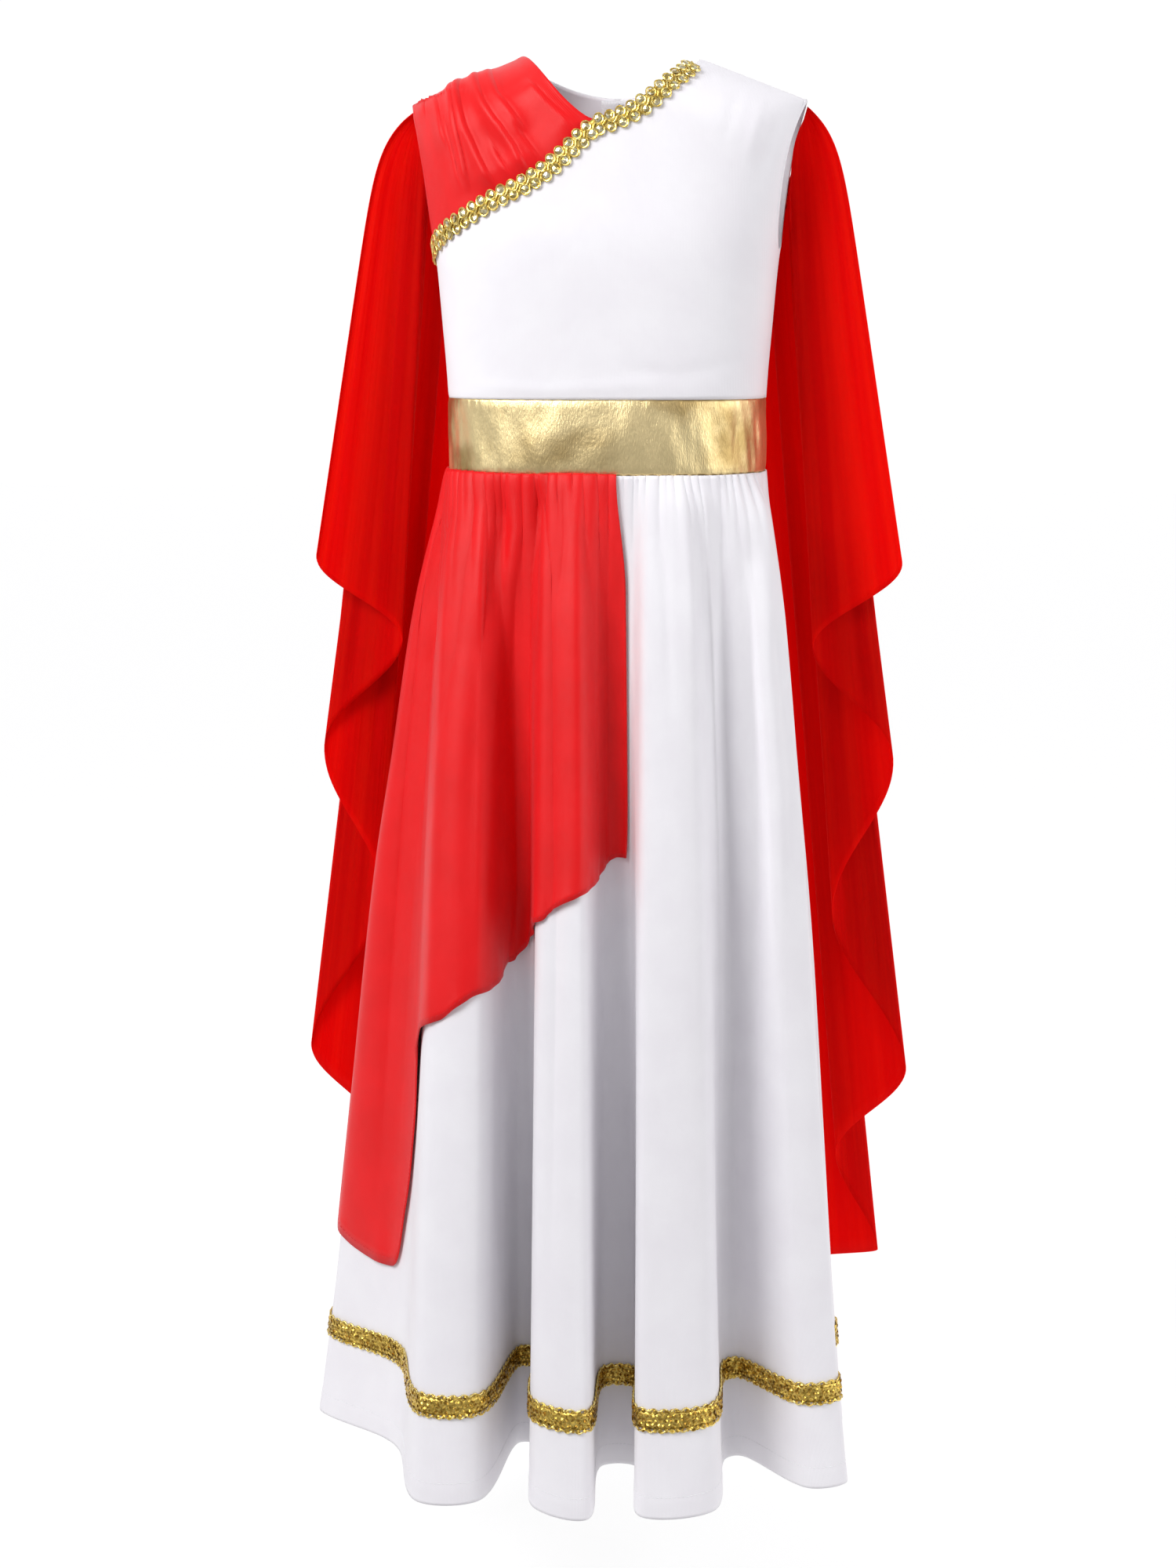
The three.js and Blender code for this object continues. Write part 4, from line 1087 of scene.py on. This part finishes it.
# Soft folds: the line as before, then width and height
SOFT_FOLDS = [
    ([(-300, 46.2), (-318, 46.6), (-373, 47.4), (-430, 47.6)], 6, -1.6),
    ([(-291, 43.7), (-327, 44.2), (-376, 43.3), (-440, 42.9)], 4, 1.9),
    (
        [(-296, 43.1), (-327, 42.6), (-359, 40.8), (-409, 39.4), (-519, 38.6), (-590, 38.5), (-680, 40.5)],
        10, -3.6,
    ),
    ([(-590, 44.0), (-640, 43.3), (-725, 41.7), (-960, 41.5)], 13, -2.0),
    ([(-292, 59.0), (-312, 58.8), (-350, 59.2), (-500, 59.6)], 4.5, -1.6),
    ([(-322, 65.8), (-340, 65.7), (-425, 65.4), (-700, 65.5)], 6, -1.2),
    ([(-300, 66.9), (-324, 67.2), (-425, 67.2), (-560, 66.6)], 6, 1.8),
    (
        [(-330, 69.3), (-359, 69.0), (-426, 68.6), (-538, 68.2), (-595, 67.8), (-673, 67.3), (-840, 67.0)],
        8, -3.4,
    ),
    ([(-300, 71.0), (-327, 70.8), (-425, 69.5), (-519, 69.8), (-592, 69.2), (-720, 68.8)], 7, 2.8),
    ([(-393, 71.0), (-503, 71.4), (-547, 70.7), (-640, 71.1)], 8, -2.0),
]
# Short dark gathers under the waistband in front, by column
FRONT_GATHERS = [
    28.6, 30.2, 31.9, 33.4, 34.95, 36.1, 37.2, 38.3, 39.9, 41.3, 42.5, 43.3, 44.6, 45.6, 46.8, 48.7, 49.5,
    50.6, 51.5, 52.6, 53.7, 54.9, 55.9, 56.7, 57.7, 58.9, 59.6, 60.4, 61.5, 62.6, 63.8, 65.1, 66.1, 67.2,
    68.3, 69.4, 70.6,
]


def hidden_folds():
    """Folds for the sides and the back, like those in front."""
    top = WAIST_SEAM - 3
    rows = []
    for first, last in ((3, 27), (72, 97)):
        column = float(first)
        while column < last:
            drop = RANDOM.uniform(140, 520)
            drift = RANDOM.uniform(-0.8, 0.8)
            path = [(top, column), (top - drop * 0.4, column + drift * 0.7), (top - drop, column + drift)]
            height = RANDOM.choice((-1, 1)) * RANDOM.uniform(2.2, 4.4)
            rows.append((path, RANDOM.uniform(5, 14), RANDOM.uniform(5, 14), height))
            column += RANDOM.uniform(1.9, 3.3)
    return rows


def gather_table():
    """Columns of all gathers, with their depth, width and length in millimetres."""
    columns = list(FRONT_GATHERS)
    for first, last in ((1.5, 27.6), (71.8, 98.6)):
        column = first
        while column < last:
            columns.append(column)
            column += RANDOM.uniform(0.9, 2.0)
    ranges = {"depth": (1.4, 3.0), "width": (1.3, 2.1), "length": (14, 62)}
    drawn = [RANDOM.uniform(low, high, len(columns)) for low, high in ranges.values()]
    return np.stack([columns, *drawn], 1)


FOLD_LINES = SHARP_FOLDS + hidden_folds() + SOFT_FOLDS
GATHERS = gather_table()


def skirt_relief(column, z, spacing):
    """Height of the gathers and folds above the plain skirt; spacing is the millimetres in a column there."""
    fullness = 1.1
    below = WAIST_SEAM - z
    height = fullness * fading(below, 45)
    for place, depth, width, length in GATHERS:
        away = (column - place) * spacing
        height = height - swell(away, width * (1 + below / 60), depth) * fading(below, length)
    for path, *widths, rise in FOLD_LINES:
        path = np.array(path)
        away = (column - np.interp(-z, -path[:, 0], path[:, 1])) * spacing
        length, down = path[0, 0] - path[-1, 0], path[0, 0] - z
        shown = smooth(-8, 24, down) * (1 - smooth(length * 0.45, length, down))
        fold = crease if len(widths) == 2 else swell
        height = height + fold(away, *widths, rise) * shown
    near_zip = smooth(PLAIN_NEAR_ZIP * 0.3, PLAIN_NEAR_ZIP, 180 - np.abs(plan_at(column, "at")))
    return height * near_zip


def skirt_cells(column, z):
    """The skirt's inner face with its gathers, as points and outward normals."""
    column, z = np.broadcast_arrays(np.asarray(column, float), np.asarray(z, float))
    wrapped = np.where(column < 0, column + SKIRT_COLUMNS, column)
    plain = skirt_plain(wrapped, z)
    step, drop = 0.25, 4
    after, before = np.minimum(wrapped + step, SKIRT_COLUMNS), np.maximum(wrapped - step, 0)
    along = skirt_plain(after, z) - skirt_plain(before, z)
    lower, upper = np.maximum(z - drop, HEM), np.minimum(z + drop, WAIST_SEAM)
    normals = np.cross(skirt_plain(wrapped, lower) - skirt_plain(wrapped, upper), along)
    normals[..., 2] *= smooth(0, 9, WAIST_SEAM - z)   # level at the waist seam
    normals = unit(normals)
    spacing = np.linalg.norm(along, axis=-1) / (2 * step)
    return raise_grid(plain, normals, skirt_relief(wrapped, z, spacing))


def skirt_panel(name, first, last, columns, rows=92):
    """One gathered panel between two columns, with its turned hem."""
    column = np.linspace(first, last, columns + 1)
    share = np.linspace(0, 1, rows)
    z = lerp(WAIST_SEAM - SEAM, HEM, 0.35 * share + 0.65 * share**2.1)
    z[-8:] = np.linspace(HEM + 15, HEM, 8)   # even rows over the turned hem
    points, normals = skirt_cells(column[:, None], z[None])
    points[0] += unit(points[1] - points[0]) * SEAM / 2
    points[-1] -= unit(points[-1] - points[-2]) * SEAM / 2
    seam_dip = swell(np.minimum(column - first, last - column)[:, None], 0.12, -0.5)
    points, normals = raise_grid(points, normals, np.broadcast_to(seam_dip, points.shape[:2]))
    hem_fold = 0.35 * (1 - smooth(HEM + 12.5, HEM + 13.5, z))[None]
    length = plan_at(column, "length")[:, None]
    cloth = shell(f"{name}_cloth", points, normals, LIFT, CLOTH + hem_fold, WHITE, (length, z[None]))
    belongs(cloth, name)


def level_strip(end_gap, z_middle, half, steps, rows):
    """A level strip round the skirt's outer face, from one side of the zip's seam to the other."""
    column = np.linspace(end_gap, SKIRT_COLUMNS - end_gap, steps + 1)
    offsets = np.linspace(-half, half, rows)
    points, normals = skirt_cells(column[:, None], (z_middle + offsets)[None])
    return Strip(points, normals, offsets)


def hem_stitches():
    """Two rows, close above the hem's turned edge."""
    for k, height in enumerate((12, 15.5)):
        strip = level_strip(0.1, HEM + height, 2, 1500, 3)
        row = stitches(f"hem_stitches_{k + 1}", strip, 0, WHITE_THREAD, 3.0, WALL + 0.05)
        belongs(row)


def hem_braid():
    """Five rows of small sequins between two looped cords, round the skirt. The sequins are a darker gold
    than the neck braid's, painted shade.
    """
    middle = HEM + HEM_BRAID_BOTTOM + HEM_BRAID_WIDTH / 2
    strip = level_strip(0.05, middle, HEM_BRAID_WIDTH / 2, 1400, 7)
    base = ribbon("hem_braid_base", strip, 6.2, WALL + 0.6, 0.6, "hem_trim")
    pitch, row_gap = 3.7, 3.35
    places = []
    for row in range(5):
        along = np.arange(1.5 + (row % 2) * pitch / 2, strip.length - 1.5, pitch)
        along = along + jitter(0.35, len(along))
        off = (row - 2) * row_gap + jitter(0.3, len(along))
        places.append(strip.place(along, off, WALL + 1.6))
    parts = joined(places)
    count = len(parts[0])
    tilt = (jitter(0.5, count), jitter(0.5, count))
    size = RANDOM.uniform(0.85, 1.12, count)
    sequins = scatter("hem_braid_sequins", disc_shape(1.75, 0.45, 0.35, 7), *parts, size, HEM_GOLD_SHADED, tilt)
    belongs(sequins)
    loop, edge, swing = 7.4, 7.6, 0.9
    for k, side in enumerate((-1, 1)):
        path = wave_path(strip, loop, side * edge, swing, WALL + 1.4, k * 1.3, 0.9)
        belongs(tube(f"hem_braid_cord_{k + 1}", path, 0.65, 5, CORD_GOLD))


def overlay(columns=470, rows=88):
    """The red over-skirt over the skirt's right half, with a slanting rolled hem."""
    last = side_column(OVERLAY_EDGE - 0.001)
    share = np.linspace(0, 1, rows)[None]
    share = 0.4 * share + 0.6 * share**1.9
    across = np.linspace(0, 1, columns + 1)[:, None]
    lean = OVERLAY_LEAN * across**6 * (1 - smooth(0, 0.3, share))
    column = last * across - lean
    length = plan_at(column, "length")
    hem = overlay_hem(plan_at(column, "at")) + 2.6 * uneven(length, 27)
    z = lerp(WAIST_SEAM - SEAM, hem, share)
    points, normals = skirt_cells(column, z)
    below, above_hem = WAIST_SEAM - z, z - hem
    extra = 1.6 * uneven(length + 7, 13) * fading(above_hem, 14)
    puff = 0.5 + 0.5 * uneven(column * 10, 14)
    extra = extra + 0.9 * puff * fading(below, 30) + 0.3 - 1.6 * fading(below, 3)
    points[0, :, 0] -= SEAM / 2
    points, normals = raise_grid(points, normals, extra)
    edge = 0.3 * (1 - smooth(0.0, 0.25, last - column)) + 0.3 * smooth(0.985, 1, share)
    cloth = shell("overlay_cloth", points, normals, OVERLAY_LIFT, CLOTH + edge, RED, (length, z))
    belongs(cloth, "overlay")
    hem_rows = [rows - 1, rows - 2, rows - 3]
    strip = Strip(points[:, hem_rows], normals[:, hem_rows], [0, 4, 8])
    row = stitches("overlay_hem_stitches", strip, 2.2, RED_THREAD, 3.4, OVERLAY_LIFT + CLOTH + 0.1)
    belongs(row)


# Drapes

def drape_points(place, row, side):
    """Points of a drape: place counts its fold lines from the front edge, row runs from 0 at the top to 1."""
    place, row = np.broadcast_arrays(np.asarray(place, float), np.asarray(row, float))
    count = len(DRAPE_LINES["hem"])
    index = np.minimum(place.astype(int), count - 2)
    share = place - index
    swing = 0.5 - 0.5 * np.cos(share * math.pi)

    def mix(key, weight):
        return lerp(DRAPE_LINES[key][index], DRAPE_LINES[key][index + 1], weight)

    down = place / (count - 1)
    top_z = lerp(DRAPE_TOP["first"], DRAPE_TOP["last"], down)
    z = lerp(top_z, mix("hem", share), row)
    reach = mix("hem", swing) - UNDERARM

    def line(height):
        """x and y of the free fall at a height."""
        fall = (height - UNDERARM) / reach
        x = lerp(mix("top_x", swing), mix("x", swing), fall)
        return x, lerp(mix("top_y", share), mix("y", share), fall)

    (line_x, line_y), (top_x, top_y) = line(z), line(top_z)
    sewn = body_point(np.ones_like(top_z), -down_to(1.0, top_z))
    held = np.exp((z - top_z) / DRAPE_TOP["fall"])
    held_x = np.exp((z - top_z) / lerp(DRAPE_TOP["fall"], DRAPE_TOP["fall_last"], down))
    x = line_x + (sewn[..., 0] + DRAPE_TOP["stand"] - top_x) * held_x
    if side < 0:
        x = x * lerp(RIGHT_DRAPE["ease"], 1, held_x) + RIGHT_DRAPE["spread"] * line_y * (1 - held)
    return np.stack([side * x, line_y + (sewn[..., 1] - top_y) * held, z], -1)


# Soft lines down a drape: place at the top and the bottom, start and end by row, width and height
DRAPE_CREASES = [
    (0.22, 0.30, 0.06, 0.95, 0.05, 0.9),
    (0.48, 0.62, 0.10, 0.85, 0.06, -0.9),
    (0.80, 0.92, 0.08, 1.0, 0.05, 0.8),
    (1.25, 1.10, 0.12, 0.9, 0.06, -0.9),
    (1.55, 1.62, 0.05, 1.0, 0.05, 1.0),
    (1.85, 1.95, 0.20, 0.8, 0.06, -0.8),
    (2.30, 2.42, 0.10, 0.95, 0.05, 0.9),
    (2.65, 2.60, 0.15, 0.9, 0.06, -1.0),
    (3.40, 3.32, 0.10, 1.0, 0.06, 0.9),
    (3.75, 3.85, 0.10, 0.8, 0.05, -0.9),
    (4.35, 4.46, 0.06, 0.95, 0.06, 1.0),
    (4.70, 4.62, 0.2, 0.9, 0.05, -0.8),
    (5.45, 5.40, 0.1, 0.95, 0.06, 0.9),
    (6.40, 6.52, 0.1, 0.95, 0.06, -0.9),
]


def drape_normals(points, side):
    """Normals that point away from the wearer."""
    return unit(np.cross(np.gradient(points, axis=1), np.gradient(points, axis=0))) * -side


def drape(side, columns=180, rows=84):
    """A sheer drape hanging from the back armhole, with rolled edges."""
    count = len(DRAPE_LINES["hem"]) - 1
    place = np.linspace(0, count, columns + 1)[:, None]
    share = np.linspace(0, 1, rows)[None]
    row = 0.45 * share + 0.55 * share**1.8
    points = drape_points(place, row, side)
    normals = drape_normals(points, side)
    height = np.zeros(points.shape[:2])
    for top, bottom, start, end, width, rise in DRAPE_CREASES:
        height += ridge(row, place + 0.02 * side, [(start, top), (end, bottom)], width, rise, 0.08)
    height += 0.5 * uneven(place * 10 + 3 * side, 1.6) * fading(row, 0.12)
    height *= smooth(0, 0.02, row)
    points = points + normals * height[..., None]
    normals = drape_normals(points, side)
    from_edge = np.minimum(place, count - place) * 60
    rolled = 0.5 * (1 - smooth(0.8, 2.0, from_edge)) + 0.5 * smooth(0.994, 1, row)
    thick = CHIFFON + np.minimum(rolled, 0.5)
    side_name = SIDES[side]
    uv = (place * (DRAPE_GIRTH / count), points[..., 2])
    cloth = shell(f"wing_{side_name}_cloth", points, normals, -0.3, thick, SHEER, uv)
    belongs(cloth, f"wing_{side_name}")


# Zip

def zip_tape_grid(upper_rows=70, band_rows=16, low_rows=24):
    """The inside of the back along the centre seam, from the neck to below the waist seam."""
    x = np.linspace(-TAPE["half"], TAPE["half"], 9)[:, None]

    def widened(points):
        """The same points in each of the tape's nine columns."""
        return points + np.zeros((len(x), 1, 3))

    neck = float(back_neck_down(np.array([0.0]))[0])
    down = np.linspace(neck + 1, float(down_to(0.0, BAND_TOP)), upper_rows)[None]
    upper, upper_normals = body_point(0.0, -down), body_cells(np.zeros_like(down), -down)[1]
    z = np.linspace(BAND_TOP - 2, WAIST_SEAM, band_rows)[None]
    band, band_normals = waist_cells(np.full_like(z, math.pi), z)
    z = np.linspace(WAIST_SEAM - 4, TAPE["end"], low_rows)[None]
    low = skirt_plain(np.zeros_like(z), z)
    low_normals = np.broadcast_to((0.0, 1.0, 0.0), low.shape)
    points = widened(np.concatenate([upper, band, low], 1))
    points[..., 0] = x
    normals = widened(np.concatenate([upper_normals, band_normals, low_normals], 1))
    normals[..., 0] = 0
    return points, unit(normals)


def zip_parts():
    """Woven tape inside the back, with two rows of coil teeth along its middle."""
    points, normals = zip_tape_grid()
    arc = np.concatenate([[0], np.cumsum(np.linalg.norm(np.diff(points[4], axis=0), axis=1))])
    uv = (np.linspace(-TAPE["half"], TAPE["half"], 9)[:, None], arc[None])
    inner = -TAPE["inside"] - TAPE["thick"]
    tape = shell("zip_tape_cloth", points, normals, inner, 0.7, TAPE_CLOTH, uv)
    belongs(tape, "zip_tape")
    line = strip_of([(points[k], normals[k]) for k in (3, 4, 5)], [-3.5, 0, 3.5])
    teeth_at, stitches_at = np.arange(2, line.length - 4, 1.3), np.arange(3, line.length - 3, 2.8)
    for side, name in SIDES.items():
        spots = line.place(teeth_at + (side + 1) * 0.3, side * 1.1, inner - 0.4)
        teeth = scatter(f"zip_teeth_{name}", dash_shape(0.95, 2.0, 0.5), *spots, 1, WHITE_THREAD)
        edge, ways, outs = line.place(stitches_at, side * 3.2, inner)
        row = scatter(f"zip_stitches_{name}", dash_shape(2.1, 0.5, 0.2), edge, ways, -outs, 1, WHITE_THREAD)
        for piece in (teeth, row):
            belongs(piece)


def armhole_stitches():
    """One row of stitches along each armhole's turned hem, front and back."""
    for side, name in SIDES.items():
        for face, face_name in ((1, "front"), (-1, "back")):
            if side < 0 and face > 0:
                continue   # the yoke is there
            z = np.linspace(ARMHOLE_TOP - 5, UNDERARM + 2, 90)
            rows = []
            for inside in (ARMHOLE_HEM - 1.7, ARMHOLE_HEM, ARMHOLE_HEM + 1.7):
                across = np.full_like(z, 1 - inside / EDGE_REACH)
                rows.append(body_cells(side * across, face * down_to(across, z)))
            strip = strip_of(rows, [-1.7, 0, 1.7])
            row = stitches(f"armhole_stitches_{name}_{face_name}", strip, 0, WHITE_THREAD, 3.0, WALL - 0.25)
            belongs(row)


def neck_stitches():
    """The back neck's turned edge is sewn down close under it."""
    across = np.linspace(0.012, NECK_ACROSS * 0.98, 60)
    for side, name in SIDES.items():
        rows = [body_cells(side * across, -(back_neck_down(across) + below)) for below in (4, 6, 8)]
        strip = strip_of(rows, [-2, 0, 2])
        row = stitches(f"neck_stitches_{name}", strip, 0, WHITE_THREAD, 2.8, WALL + 0.02)
        belongs(row)


# Camera, floor and light

def staged(name, data):
    """A new camera or light, added to the scene."""
    obj = bpy.data.objects.new(name, data)
    bpy.context.scene.collection.objects.link(obj)
    return obj


def camera():
    """The photograph's view: a little from the wearer's left, from chest height, tilted down."""
    azimuth, tilt, distance, aside, height = math.radians(8), math.radians(10.31), 1.8, -0.0142, -0.1934
    data = bpy.data.cameras.new("camera")
    data.sensor_width = 36
    data.lens = 56.4
    data.clip_end = 60
    obj = staged("camera", data)
    obj.location = (
        distance * math.sin(azimuth) + aside * math.cos(azimuth),
        -distance * math.cos(azimuth) + aside * math.sin(azimuth),
        height,
    )
    obj.rotation_euler = (QUARTER - tilt, 0, azimuth)
    bpy.context.scene.camera = obj


def floor():
    """A wide pale floor at about the height where the wearer stands. It glows white behind the garment."""
    front, back, side, z = -9000, 14000, 9000, -1150
    verts = [(-side, front, z), (side, front, z), (side, back, z), (-side, back, z)]
    material, nodes = shader("pale_floor", (0.2, 0.2, 0.2), 0.9)
    nodes.last.inputs["Emission Color"].default_value = (1, 1, 1, 1)
    split = nodes.new("ShaderNodeSeparateXYZ")
    nodes.link(nodes.solid(), split, "Vector")
    nodes.link(nodes.spread((split, "Y"), -0.6, -0.05, 0.12, 0.85), nodes.last, "Emission Strength")
    new_object("floor", verts, [[0, 1, 2, 3]], material)


def world():
    """A white studio that is dimmer on the camera's side, so that metal has something to reflect."""
    studio = bpy.data.worlds.new("studio")
    nodes = Nodes(studio, "Background")
    nodes.last.inputs["Strength"].default_value = 1.02
    split = nodes.new("ShaderNodeSeparateXYZ")
    nodes.link((nodes.new("ShaderNodeTexCoord"), "Generated"), split, "Vector")
    share = nodes.spread((split, "Y"), -1, 1, 0, 1)
    nodes.link(nodes.tones(share, (0.41, 0.405, 0.425), (1, 1, 1), 0.72, 0.88), nodes.last, "Color")
    bpy.context.scene.world = studio


def light(name, place, aim, size, power):
    data = bpy.data.lights.new(name, "AREA")
    data.shape = "RECTANGLE"
    data.size, data.size_y = size
    data.energy = power
    obj = staged(name, data)
    obj.location = place
    way = np.array(aim, float) - np.array(place, float)
    yaw = math.atan2(way[1], way[0]) - QUARTER
    pitch = math.atan2(way[2], math.hypot(way[0], way[1])) + QUARTER
    obj.rotation_euler = (pitch, 0, yaw)


# The garment

bodice_front()
bodice_back(1)
bodice_back(-1)
yoke()
neck_braid()
waistband()
skirt_panel("skirt_front", RIGHT_SEAM, LEFT_SEAM, 480)
skirt_panel("skirt_back_right", 0, RIGHT_SEAM, 160)
skirt_panel("skirt_back_left", LEFT_SEAM, SKIRT_COLUMNS, 160)
hem_stitches()
hem_braid()
overlay()
drape(1)
drape(-1)
zip_parts()
armhole_stitches()
neck_stitches()
for node in ("zip_slider", "zip_pull"):
    frame["nodes"][node].data.materials.clear()
    frame["nodes"][node].data.materials.append(METAL)

# The studio

camera()
floor()
world()
light("key", (-1.2, -1.5, 0.9), (0, 0, -0.15), (1.1, 1.3), 46)
light("fill", (2.5, -0.8, 0.4), (0, 0, -0.3), (1.8, 2.2), 36)
bpy.context.scene.view_settings.view_transform = "Standard"
